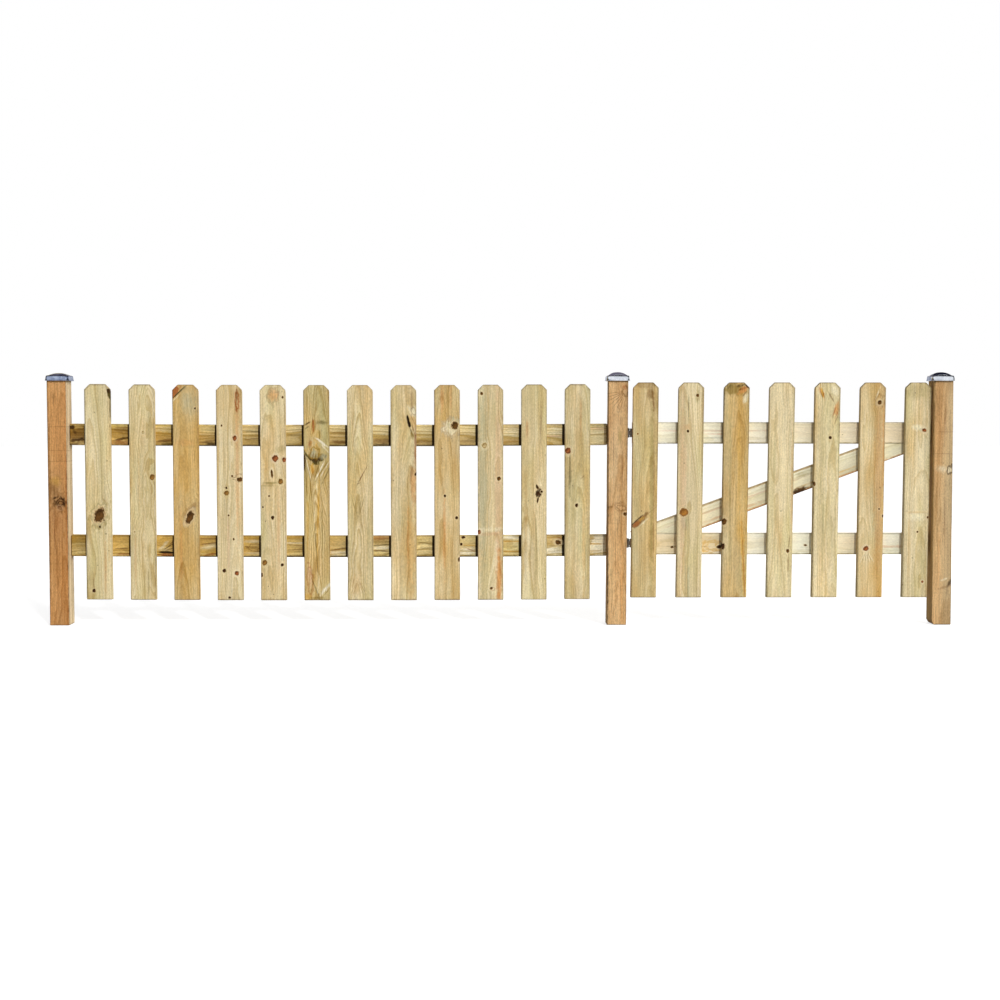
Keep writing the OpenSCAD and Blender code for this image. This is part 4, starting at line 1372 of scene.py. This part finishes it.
BRACE = Figure(45.9, (12, 48), green=0.5, warmth=0.45,
    knots=(
        Blemish.BLACK(10, 146, 4, 5),),
    stains=(
        Tint.ORANGE(37, 0, 4.5, 640, 0.85), Tint.AMBER(-38, 0, 3, 640, 0.7),
        Tint.BARK(35, 65, 13, 33, 0.98, 0, 0.35), Tint.UMBER(24, 70, 8, 20, 0.4),
        Tint.OLIVE(-20, 96, 12, 28, 0.45, 0, 0.8, 2), Tint.HONEY(20, 200, 4, 120),
        Tint.ORANGE(22, -190, 6, 130), Tint.PINK(-10, -200, 4, 260)))


PICKET_CUT = {"front_arris": 3.0, "back_arris": 1.2, "ear": 20.0}


def grime(rail: str, first: str, count: int, reach: float, strength: float,
          fall: float = 0.0) -> tuple[Stain, ...]:
    """Lists dark lines painted on a rail's face left of each picket: the picket's painted shadow,
    with some dirt.

    Args:
        rail: The rail's node.
        first: The name that the pickets' nodes start with.
        count: How many pickets cross the rail.
        reach: How far a line reaches out from its picket, in millimetres.
        strength: How dark the first line is.
        fall: How much less dark each next line is.

    Returns:
        The lines.
    """
    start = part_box(rail)[0].x
    lines = []
    for number in range(count):
        picket = f"{first}{number + 1:0{len(str(count))}d}"
        left = (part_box(picket)[0].x - start) / MM
        # each line is the picket's painted shadow, with some dirt, on the rail's front skin only
        lines.append(Tint.TAR(0, left + 2 - reach / 2, 80, reach / 2 + 2, strength - fall * number,
                              0, 0.25, 0.1, True))
    return tuple(lines)


@dataclass
class Fence:
    """The fence bay and the posts: posts, rails and pickets that stand still."""

    joinery: Joinery
    groups: WoodGroups
    sag: float = 4.6
    rise: float = 2.8
    cup: float = 0.4
    bow: float = 0.7
    first_nudge: float = -2.5
    post_rise: float = 0.2

    def posts(self) -> Iterable[Board]:
        """Lists the three posts: the hinge post leans to the leaf, the latch post back to it."""
        for node, figure, heel, lean, nudge in (("left_post", LEFT_POST, 0.0, 0.0, 0.0),
                                                ("hinge_post", HINGE_POST, 0.0, 0.3, 0.8),
                                                ("latch_post", LATCH_POST, 9.0, -0.2, -1.0)):
            yield Board(node, Body.FENCE, POST, figure, heel=heel, rows=(15, 15), lean=lean,
                        nudge=nudge, drop=-self.post_rise)

    def rails(self) -> Iterable[Board]:
        """Lists the fence rails, which sag between the posts and carry painted shadow and dirt
        beside the pickets.
        """
        for node, figure in (("fence_rail_top", FENCE_RAIL_TOP),
                             ("fence_rail_bottom", FENCE_RAIL_BOTTOM)):
            # painted shadow and dirt lines beside each picket on the rail's face
            lines = grime(node, "fence_picket_", len(FENCE_PICKETS), reach=9.5, strength=0.95)
            yield Board(node, Body.FENCE, FENCE_RAIL, replace(figure, stains=figure.stains + lines),
                        front_arris=6.0, back_arris=2.5, sag=self.sag, drop=-self.rise, level=True)

    def pickets(self) -> Iterable[Board]:
        """Lists the bay's pickets from left to right, which sag with the rails."""
        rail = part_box("fence_rail_top")
        middle, half = (rail[0].x + rail[1].x) / 2, (rail[1].x - rail[0].x) / 2
        for number, figure in enumerate(FENCE_PICKETS, 1):
            node = f"fence_picket_{number:02d}"
            out = (sum(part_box(node), Vector()).x / 2 - middle) / half
            yield Board(node, Body.FENCE, PICKET, figure, **PICKET_CUT,
                        cup=self.cup * math.sin(figure.seed * 5.1),
                        bow=self.bow * math.sin(figure.seed * 3.3),
                        drop=self.sag * (1 - out * out) - self.rise,
                        nudge=self.first_nudge if number == 1 else 0.0)

    def build(self) -> list[bpy.types.Object]:
        """Builds every board of the bay and every post."""
        boards = (*self.posts(), *self.rails(), *self.pickets())
        return [board.build(self.joinery, self.groups) for board in boards]


@dataclass
class Brace:
    """The leaf's diagonal: cut to fit between the rails, with small square tips."""

    node: str = "gate_brace"
    wide: float = 80.0
    tip: float = 6.0
    arris: float = 2.5

    def outline(self, run: float, rise: float) -> tuple[list[tuple[float, float]], float]:
        """Draws the brace from the front.

        Args:
            run: The leaf's width.
            rise: The opening between the rails.

        Returns:
            The outline's corners in metres, from the leaf's lower corner at the hinges, and the
            brace's slope.
        """
        wide, tip = self.wide * MM, self.tip * MM
        fall = rise - 2 * tip
        slope = math.atan2(fall, run) + math.asin(wide / math.hypot(run, fall))
        reach = (rise - tip) / math.tan(slope)
        return [(0, 0), (run - reach, 0), (run, rise - tip), (run, rise), (reach, rise),
                (0, tip)], slope

    def build(self, groups: WoodGroups) -> bpy.types.Object:
        """Builds the brace with its long edges eased."""
        low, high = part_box(self.node)
        corners, slope = self.outline(high.x - low.x, high.z - low.z)
        shape = bmesh.new()
        face = shape.faces.new([shape.verts.new((low.x + x, low.y, low.z + z)) for x, z in corners])
        made = bmesh.ops.extrude_face_region(shape, geom=[face])
        moved = [item for item in made["geom"] if isinstance(item, bmesh.types.BMVert)]
        bmesh.ops.translate(shape, verts=moved, vec=(0.0, high.y - low.y, 0.0))
        bmesh.ops.recalc_face_normals(shape, faces=shape.faces[:])
        bmesh.ops.bevel(shape, geom=shape.edges[:], offset=self.arris * MM, segments=4, profile=0.5,
                        affect="EDGES", clamp_overlap=True)
        piece = put_shape(f"sawn_{self.node}", self.node, shape)
        shade_evenly(piece)
        lie = Lie((low + high) / 2, slope)
        finish = BoardFinish(groups, GATE_RAIL, BRACE, lie, self.wide * MM, high.y - low.y, 0.0)
        piece.data.materials.append(finish.build(self.node))
        return settle(piece, Body.LEAF, Slot.GATE_RAIL, self.node)


@dataclass
class Leaf:
    """The gate leaf: two rails, a brace and the pickets that hide them from the front."""

    joinery: Joinery
    groups: WoodGroups
    lean: float = 0.5
    cup: float = 0.4
    bow: float = 0.6

    def boards(self) -> Iterable[Board]:
        """Lists the leaf's rails and its pickets, which lean a little to the latch."""
        for node, figure in (("gate_rail_top", GATE_RAIL_TOP),
                             ("gate_rail_bottom", GATE_RAIL_BOTTOM)):
            # painted shadow and dirt lines beside each picket on the rail's face
            lines = grime(node, "gate_picket_", len(GATE_PICKETS), reach=5.0, strength=1.0,
                          fall=0.12)
            yield Board(node, Body.LEAF, GATE_RAIL, replace(figure, stains=figure.stains + lines),
                        front_arris=2.5, back_arris=2.5, level=True, trim=4.0)
        for number, figure in enumerate(GATE_PICKETS, 1):
            yield Board(f"gate_picket_{number}", Body.LEAF, PICKET, figure, **PICKET_CUT,
                        cup=self.cup * math.sin(figure.seed * 4.7),
                        bow=self.bow * math.cos(figure.seed * 2.9), lean=self.lean)

    def build(self) -> list[bpy.types.Object]:
        """Builds the leaf's boards and its brace."""
        made = [board.build(self.joinery, self.groups) for board in self.boards()]
        return [*made, Brace().build(self.groups)]


# ---------------------------------------------------------------------------------------------
# Metal
# ---------------------------------------------------------------------------------------------


@dataclass(frozen=True)
class Galvanised:
    """A zinc-coated steel: its colours, its shine, and the size of its crystals."""

    name: str
    bright: Colour
    dull: Colour
    roughness: float
    crystal: float
    dents: float = 0.0
    stained: float = 0.0
    wear: float = 1.0
    metal: float = 1.0

    def build(self) -> bpy.types.Material:
        """Builds the material: zinc crystals of two greys, cloudy wear and fine scratches."""
        material, graph, shader = open_material(self.name)
        where = graph.node("ShaderNodeTexCoord").outputs["Object"]
        place = graph.node("ShaderNodeMapping", where, vector_type="POINT").outputs[0]
        warp = graph.scaled(graph.noise(place, scale=90.0).outputs["Color"], 0.01)
        crystals = graph.named("ShaderNodeTexVoronoi", {
            "Vector": graph.vector("ADD", place, warp), "Scale": 1 / self.crystal}).outputs["Color"]
        facet = graph.split(crystals)[0]
        cloud = graph.noise(place, scale=38.0, detail=4.0).outputs["Fac"]
        scratch = graph.noise(graph.vector("MULTIPLY", place, (60, 60, 1400)), detail=2.0)
        dullness = graph.times(facet, 0.35, graph.ramp(cloud, 0.35, 0.7, 0.0, 0.75))
        colour = graph.mix(dullness, self.bright, self.dull)
        spots = graph.noise(place, scale=420.0, detail=3.0).outputs["Fac"]
        # dark spots of dirt on the zinc
        grime = graph.times(graph.ramp(spots, 0.6, 0.74), self.stained)
        colour = graph.mix(grime, colour, srgb(96, 82, 66))
        rough = graph.times(facet, 0.1 * self.wear, self.roughness)
        rough = graph.times(scratch.outputs["Fac"], 0.12 * self.wear, rough)
        rough = graph.times(cloud, 0.12 * self.wear, rough)
        dent = graph.times(graph.noise(place, scale=55.0).outputs["Fac"], self.dents)
        height = graph.plus(dent, graph.times(facet, 0.02 * self.wear))
        height = graph.times(scratch.outputs["Fac"], 0.03 * self.wear, height)
        bump = graph.named("ShaderNodeBump", {"Strength": 0.7, "Distance": MM, "Height": height})
        graph.fill(shader,
                   {"Base Color": colour, "Metallic": self.metal, "Roughness": rough,
                    "Normal": bump.outputs[0]})
        return material


CAP_ZINC = Galvanised("cap_zinc", srgb(236, 240, 246), srgb(206, 212, 222), 0.1, 0.006, dents=0.1,
                      wear=0.25)
CLOUDY_ZINC = Galvanised("cloudy_zinc", srgb(176, 188, 212), srgb(92, 106, 140), 0.12, 0.006,
                         dents=0.35, wear=0.4)
HINGE_ZINC = Galvanised("hinge_zinc", srgb(176, 178, 176), srgb(118, 120, 120), 0.34, 0.0035,
                        dents=0.1, stained=0.5, metal=0.55)
SCREW_ZINC = Galvanised("screw_zinc", srgb(206, 202, 188), srgb(160, 156, 142), 0.3, 0.002,
                        stained=0.3)


@dataclass
class Cap:
    """A post cap pressed from sheet: flared skirt, folded edge, bead and dome."""

    node: str
    seed: float
    base: float = 45.0
    top: float = 42.5
    drop: float = 19.5
    rise: float = 13.0
    fold: float = 5.5
    sheet: float = 1.1
    nudge: float = 0.0
    steps: int = 128
    foot: float = 0.7
    square: float = 8.5
    skirt_rows: int = 8
    fold_rows: int = 6
    dome_rows: int = 16
    bead: tuple[tuple[float, float, float], ...] = ((0.4, 0.3, 6.5), (0.9, 0.45, 6.0))
    dome_inset: float = 1.4
    ripple: float = 0.16
    ripple_small: float = 0.1

    def rows(self) -> list[tuple[float, float, float]]:
        """Lists the cap's section from the foot to the dome.

        Returns:
            For each row its half width and height in millimetres, and how square its plan is.
        """
        flare, skirt = self.base - self.top, self.drop - self.fold
        rows = [(self.base, 0.0, self.square), (self.base, self.foot, self.square)]
        for step in range(1, self.skirt_rows + 1):
            share = step / self.skirt_rows
            rows.append((self.top + flare * (1 - share) ** 1.6, skirt * share, self.square))
        for step in range(1, self.fold_rows + 1):
            angle = UPRIGHT * step / self.fold_rows
            rows.append((self.top - self.fold * (1 - math.cos(angle)),
                         skirt + self.fold * math.sin(angle), self.square - 0.5))
        edge = self.top - self.fold
        rows += [(edge - inset, self.drop - dip, square) for inset, dip, square in self.bead]
        start = edge - self.dome_inset
        for step in range(self.dome_rows):
            half = start * (1 - step / self.dome_rows)
            height = self.drop + self.rise * (1 - (half / start) ** 2.5)
            rows.append((half, height, 2.2 + 3.4 * (half / start) ** 2))
        return rows

    def build(self, material: bpy.types.Material) -> bpy.types.Object:
        """Presses the cap onto its post.

        Args:
            material: The cap's zinc.

        Returns:
            The cap's piece.
        """
        low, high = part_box(self.node)
        middle = (low + high) / 2
        centre = Vector((middle.x + self.nudge * MM, middle.y, low.z))
        shape = bmesh.new()
        rings = []
        for half, height, square in self.rows():
            ring = []
            for step in range(self.steps):
                angle = CIRCLE * step / self.steps
                cos, sin = math.cos(angle), math.sin(angle)
                reach = half / (abs(cos) ** square + abs(sin) ** square) ** (1 / square)
                dent = self.ripple * math.sin(3 * angle + self.seed)
                dent *= math.sin(height * 0.31 + self.seed)
                dent += self.ripple_small * math.sin(7 * angle - 2 * self.seed)
                dent *= min(1.0, half / 20)
                point = Vector(((reach + dent) * cos, (reach + dent) * sin, height + 0.5 * dent))
                ring.append(shape.verts.new(centre + point * MM))
            rings.append(ring)
        close_rings(shape, rings)
        apex = shape.verts.new(centre + Vector((0.0, 0.0, (self.drop + self.rise) * MM)))
        for step in range(self.steps):
            shape.faces.new((rings[-1][step], rings[-1][(step + 1) % self.steps], apex))
        piece = put_shape(f"pressed_{self.node}", self.node, shape)
        piece.data.materials.append(material)
        wall = piece.modifiers.new("Sheet", "SOLIDIFY")
        wall.thickness, wall.offset = self.sheet * MM, -1.0
        return settle(piece, Body.FENCE, Slot.CAP, self.node)


@dataclass
class Hinges:
    """The two T-hinges: plates, straps and riveted pins, with every edge eased."""

    ease: float = 0.35
    sharp: float = 35.0

    def build(self, material: bpy.types.Material) -> list[bpy.types.Object]:
        """Eases the edges of every hinge piece and dresses it.

        Args:
            material: The hinges' zinc.

        Returns:
            The hinge pieces.
        """
        made = []
        for part, body in (("plate", Body.FENCE), ("pin", Body.FENCE), ("strap", Body.LEAF)):
            for level in ("top", "bottom"):
                node = f"hinge_{part}_{level}"
                piece = self.eased(node)
                piece.data.materials.append(material)
                made.append(settle(piece, body, Slot.HINGE, node))
        return made

    def eased(self, node: str) -> bpy.types.Object:
        """Copies a node's mesh with its sharp edges rounded off."""
        shape = bmesh.new()
        shape.from_mesh(frame["nodes"][node].data)
        bmesh.ops.remove_doubles(shape, verts=shape.verts[:], dist=0.002 * MM)
        bmesh.ops.dissolve_limit(shape, angle_limit=math.radians(1), verts=shape.verts[:],
                                 edges=shape.edges[:])
        piece = put_shape(f"eased_{node}", node, shape)
        bevel = piece.modifiers.new("Ease", "BEVEL")
        bevel.width, bevel.segments, bevel.limit_method = self.ease * MM, 2, "ANGLE"
        bevel.angle_limit = math.radians(self.sharp)
        shade_evenly(piece)
        return piece


@dataclass
class Screws:
    """Countersunk wood screws with a six-lobed drive, seen from their heads."""

    joinery: Joinery
    head: float = 4.6
    shank: float = 2.4
    drive: float = 2.1
    points: int = 24
    slant: tuple[float, float, float] = (34.0, 0.0, 26.0)
    proud: float = 0.25
    hinge_face: float = 2.9
    plate_holes: tuple[tuple[str, float, float], ...] = (("outer", 8.0, 37.0),
                                                         ("inner", 23.0, 15.0))
    strap_holes: tuple[float, float, int] = (25.0, 239.0, 4)
    skew_inset: float = 16.0
    skew_sunk: float = 0.6
    skew_up: float = 22.0
    skew_gap: float = 33.0
    skew_turn: float = 0.7

    def model(self) -> bpy.types.Object:
        """Turns one screw, its head facing up from the origin."""
        shape = bmesh.new()
        rings = []
        for radius, height, lobes in (
                (self.shank * 0.9, -6.0, 0.0), (self.shank, -2.6, 0.0), (self.head, -0.35, 0.0),
                (self.head, -0.12, 0.0), (self.head - 0.25, 0.0, 0.0),
                (self.drive * 1.12, 0.0, 0.14), (self.drive, -0.2, 0.16),
                (self.drive * 0.92, -1.9, 0.16)):
            ring = []
            for step in range(self.points):
                angle = CIRCLE * step / self.points
                reach = radius * (1 + lobes * math.cos(6 * angle))
                point = Vector((reach * math.cos(angle), reach * math.sin(angle), height))
                ring.append(shape.verts.new(point * MM))
            rings.append(ring)
        close_rings(shape, rings)
        shape.faces.new(rings[-1])
        shape.faces.new(rings[0][::-1])
        return put_shape("screw_model", "screw", shape, smooth=False)

    def build(self, material: bpy.types.Material) -> list[bpy.types.Object]:
        """Drives every row of screws.

        Args:
            material: The screws' zinc.

        Returns:
            The screws, one piece for each row of the same sort.
        """
        model = self.model()
        made = []
        for number, row in enumerate((*self.picket_rows(), *self.hinge_rows(), *self.skew_rows())):
            name, body, values = row
            values |= {"Screw": model, "Steel": material, "Seed": number}
            piece = self.joinery.grow(name, self.joinery.screws, values)
            made.append(settle(piece, body, Slot.HINGE))
        mesh = model.data
        bpy.data.objects.remove(model)
        bpy.data.meshes.remove(mesh)
        return made

    @staticmethod
    def row(name: str, body: Body, first: Sequence[float], columns: tuple[int, float] = (1, 0.0),
            rows: tuple[int, float] = (1, 0.0), pair: tuple[int, Vector] = (1, Vector()),
            turn: float = 0.0) -> tuple[str, Body, dict]:
        """Puts the sizes of one set of screws together for the tree.

        Args:
            name: The set's name.
            body: The body that it moves with.
            first: The first screw's head.
            columns: How many columns there are, and the step from one to the next.
            rows: How many rows there are, and the step up from one to the next.
            pair: How many screws stand at each crossing, and the step between them.
            turn: How far the screws turn to the side, in radians.

        Returns:
            The name, the body and the tree's inputs.
        """
        return name, body, {
            "First": Vector(first), "Columns": columns[0],
            "Column Step": Vector((columns[1], 0.0, 0.0)), "Rows": rows[0],
            "Row Step": Vector((0.0, 0.0, rows[1])), "Pair": pair[0], "Pair Step": pair[1],
            "Lean": (-UPRIGHT, 0.0, turn)}

    def picket_rows(self) -> Iterable[tuple[str, Body, dict]]:
        """Lists the screws that hold the pickets: a slanted pair through the rail at each one."""
        spread = Vector(self.slant) * MM
        for side, body, digits, count in (("fence", Body.FENCE, 2, len(FENCE_PICKETS)),
                                          ("gate", Body.LEAF, 1, len(GATE_PICKETS))):
            first, second = (sum(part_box(f"{side}_picket_{number:0{digits}d}"), Vector()) / 2
                             for number in (1, 2))
            low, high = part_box(f"{side}_rail_bottom")
            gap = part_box(f"{side}_rail_top")[0].z - low.z
            start = Vector((first.x, high.y + self.proud * MM, (low.z + high.z) / 2)) - spread / 2
            yield self.row(f"picket_screws_{side}", body, start, (count, second.x - first.x),
                           (2, gap), (2, spread))

    def hinge_rows(self) -> Iterable[tuple[str, Body, dict]]:
        """Lists the screws in the hinges' countersunk holes."""
        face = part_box("hinge_post")[1].y + self.hinge_face * MM
        near, far, count = self.strap_holes
        for level in ("top", "bottom"):
            low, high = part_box(f"hinge_plate_{level}")
            middle = (low.z + high.z) / 2
            for name, x, reach in self.plate_holes:
                yield self.row(f"plate_screws_{name}_{level}", Body.FENCE,
                               (low.x + x * MM, face, middle - reach * MM),
                               rows=(2, 2 * reach * MM))
            low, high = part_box(f"hinge_strap_{level}")
            pin = sum(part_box(f"hinge_pin_{level}"), Vector()) / 2
            yield self.row(f"strap_screws_{level}", Body.LEAF,
                           (pin.x + near * MM, face, (low.z + high.z) / 2),
                           (count, (far - near) * MM / (count - 1)))

    def skew_rows(self) -> Iterable[tuple[str, Body, dict]]:
        """Lists the screws driven at a slant through the fence rails' ends into the posts."""
        low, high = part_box("fence_rail_bottom")
        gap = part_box("fence_rail_top")[0].z - low.z
        inset = self.skew_inset * MM
        for name, x, turn in (("left", low.x + inset, self.skew_turn),
                              ("right", high.x - inset, -self.skew_turn)):
            yield self.row(f"skew_screws_{name}", Body.FENCE,
                           (x, high.y - self.skew_sunk * MM, low.z + self.skew_up * MM),
                           rows=(2, gap), pair=(2, Vector((0.0, 0.0, self.skew_gap * MM))),
                           turn=turn)


# ---------------------------------------------------------------------------------------------
# Studio
# ---------------------------------------------------------------------------------------------


@dataclass
class Studio:
    """The pale floor, the lamps, the backdrop and the camera."""

    sun_lights: tuple[tuple[str, float, float, float, float], ...] = (
        ("key", 24.0, 30.0, 5.0, 1.95), ("side", 60.0, 24.0, 30.0, 1.4))
    back_from: tuple[float, float, float] = (2.4, 5.0, 3.6)
    back_to: tuple[float, float, float] = (-0.4, 0.0, 0.4)
    back_power: float = 170.0
    back_size: float = 2.5
    sheet_heights: tuple[float, float] = (2.6, 3.0)
    sheets: tuple[tuple[str, float, float, float, float, tuple[float, float, float]], ...] = (
        ("ceiling", -9.0, 8.0, -2.2, 0.4, (0.0, 0.0, 0.0)),
        ("left_sheet", -9.0, -2.9, 0.4, 9.0, (0.45, 0.36, 0.18)),
        ("middle_sheet", -2.9, 1.1, 0.4, 9.0, (0.2, 0.175, 0.22)),
        ("right_sheet", 1.1, 4.6, 0.4, 9.0, (0.014, 0.015, 0.028)))
    flags: tuple[tuple[str, tuple[float, float], tuple[float, float], float,
                       tuple[float, float, float]], ...] = (
        ("back_flag", (-3.2, 9.0), (-0.6, 9.0), 3.0, (0.3, 0.32, 0.4)),
        ("left_flag", (-7.0, -3.5), (-7.0, 3.5), 2.6, (0.02, 0.02, 0.02)),
        ("right_flag", (6.0, -3.5), (6.0, 2.0), 2.6, (0.03, 0.03, 0.03)))
    sky_from: tuple[float, float, float] = (0.62, -0.5, 0.6)
    shade: float = 0.1
    sky: float = 0.34
    floor_grey: float = 0.45
    floor_glow: float = 0.76
    floor_reach: float = 40.0
    floor_gap: float = 0.0005
    eye: tuple[float, float, float] = (-0.470, -5.686, 0.755)
    pitch: float = 2.928
    yaw: float = -0.354
    focal: float = 1.527

    def build(self) -> None:
        """Sets up the floor, the light and the camera."""
        self.floor()
        self.suns()
        self.back_lamp()
        self.surround()
        for name, left, right, near, far, colour in self.sheets:
            low, high = self.sheet_heights
            self.card(name,
                      ((left, near, low), (right, near, low), (right, far, high),
                       (left, far, high)), colour)
        for name, (x, y), (far_x, far_y), height, colour in self.flags:
            self.card(name, ((x, y, 0), (far_x, far_y, 0), (far_x, far_y, height), (x, y, height)),
                      colour)
        self.camera()
        bpy.context.scene.view_settings.view_transform = "Standard"

    def suns(self) -> None:
        """Hangs the main light, a soft sun from the right, and a weaker one low at the side."""
        for name, turn, height, spread, power in self.sun_lights:
            light = bpy.data.lights.new(name, "SUN")
            light.energy, light.angle = power, math.radians(spread)
            lamp = put(name, light)
            lamp.visible_glossy = False
            lamp.rotation_euler = (math.radians(90 - height), 0.0, math.radians(turn))

    def back_lamp(self) -> None:
        """Hangs a large soft lamp behind the fence, for its back."""
        light = bpy.data.lights.new("back", "AREA")
        light.energy, light.size = self.back_power, self.back_size
        lamp = put("back", light)
        lamp.visible_glossy = False
        lamp.location = self.back_from
        aim = Vector(self.back_to) - Vector(self.back_from)
        lamp.rotation_euler = aim.to_track_quat("-Z", "Y").to_euler()

    @staticmethod
    def seen(graph: Graph) -> Socket:
        """Tells rays that see the scene, straight or in metal, from those that light it."""
        rays = graph.node("ShaderNodeLightPath").outputs
        seen = graph.math("MAXIMUM", rays["Is Camera Ray"], rays["Is Glossy Ray"])
        return graph.math("MAXIMUM", seen, rays["Is Transmission Ray"])

    def surround(self) -> None:
        """Makes the backdrop white to the eye and a soft grey to the light."""
        world = bpy.data.worlds.new("studio")
        bpy.context.scene.world = world
        world.use_nodes = True
        graph = Graph(world.node_tree)
        way = graph.node("ShaderNodeTexCoord").outputs["Generated"]
        side = graph.vector("DOT_PRODUCT", way, Vector(self.sky_from).normalized())
        light = graph.ramp(side, -0.7, 0.9, self.shade, self.sky)
        level = graph.choose(self.seen(graph), light, 1.0)
        graph.fill(world.node_tree.nodes["Background"].inputs, {"Color": WHITE, "Strength": level})

    def floor(self) -> None:
        """Lays a pale floor that keeps the object's shadow and fades into the backdrop."""
        material, graph, shader = open_material("floor")
        graph.fill(shader, {
            "Base Color": (*[self.floor_grey] * 3, 1.0), "Roughness": 0.9,
            "Specular IOR Level": 0.0, "Emission Color": WHITE,
            "Emission Strength": graph.times(self.seen(graph), self.floor_glow)})
        reach = self.floor_reach
        floor = put_quad("floor",
                         [(-reach, -reach, 0), (reach, -reach, 0), (reach, reach, 0),
                          (-reach, reach, 0)], material)
        floor.location.z = -self.floor_gap
        floor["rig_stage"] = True

    @staticmethod
    def card(name: str, corners: Sequence[Sequence[float]],
             colour: tuple[float, float, float]) -> None:
        """Hangs a card that shows only in bright metal.

        Args:
            name: The card's name.
            corners: Its four corners.
            colour: How bright it shows in red, green and blue, where 1 is white.
        """
        material, graph, shader = open_material(name)
        graph.fill(shader,
                   {"Base Color": BLACK, "Specular IOR Level": 0.0,
                    "Emission Color": (*colour, 1.0), "Emission Strength": 1.0})
        card = put_quad(name, corners, material)
        card.visible_camera = card.visible_diffuse = card.visible_shadow = False
        card.visible_transmission = False
        card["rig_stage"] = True

    def camera(self) -> None:
        """Stands the camera in front of the fence, low and slightly turned down."""
        lens = bpy.data.cameras.new("camera")
        lens.lens = lens.sensor_width * self.focal
        lens.clip_end = 200.0
        camera = put("camera", lens)
        camera.location = self.eye
        camera.rotation_euler = (math.radians(90 - self.pitch), 0.0, math.radians(self.yaw))
        bpy.context.scene.camera = camera


def main() -> None:
    """Builds every sub-assembly in order and reports each piece."""
    logging.basicConfig(level=logging.INFO, format="%(name)s: %(message)s")
    Studio().build()
    joinery, groups = Joinery(), WoodGroups()
    pieces = Fence(joinery, groups).build()
    pieces += Leaf(joinery, groups).build()
    zinc, cloudy = CAP_ZINC.build(), CLOUDY_ZINC.build()
    pieces += [Cap("left_cap", 0.7, rise=9.0, nudge=2.0).build(cloudy),
               Cap("hinge_cap", 2.1, nudge=1.5).build(zinc),
               Cap("latch_cap", 4.4, nudge=-4.5).build(zinc)]
    pieces += Hinges().build(HINGE_ZINC.build())
    pieces += Screws(joinery).build(SCREW_ZINC.build())
    for piece in pieces:
        LOG.info("%s: %d faces on %s", piece.name, len(piece.data.polygons), piece["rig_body"])
    boxes = {"cad": CAD_BOX, "visual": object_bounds()}
    {name: [list(corner) for corner in box] for name, box in boxes.items()}


if __name__ == "__main__":
    main()
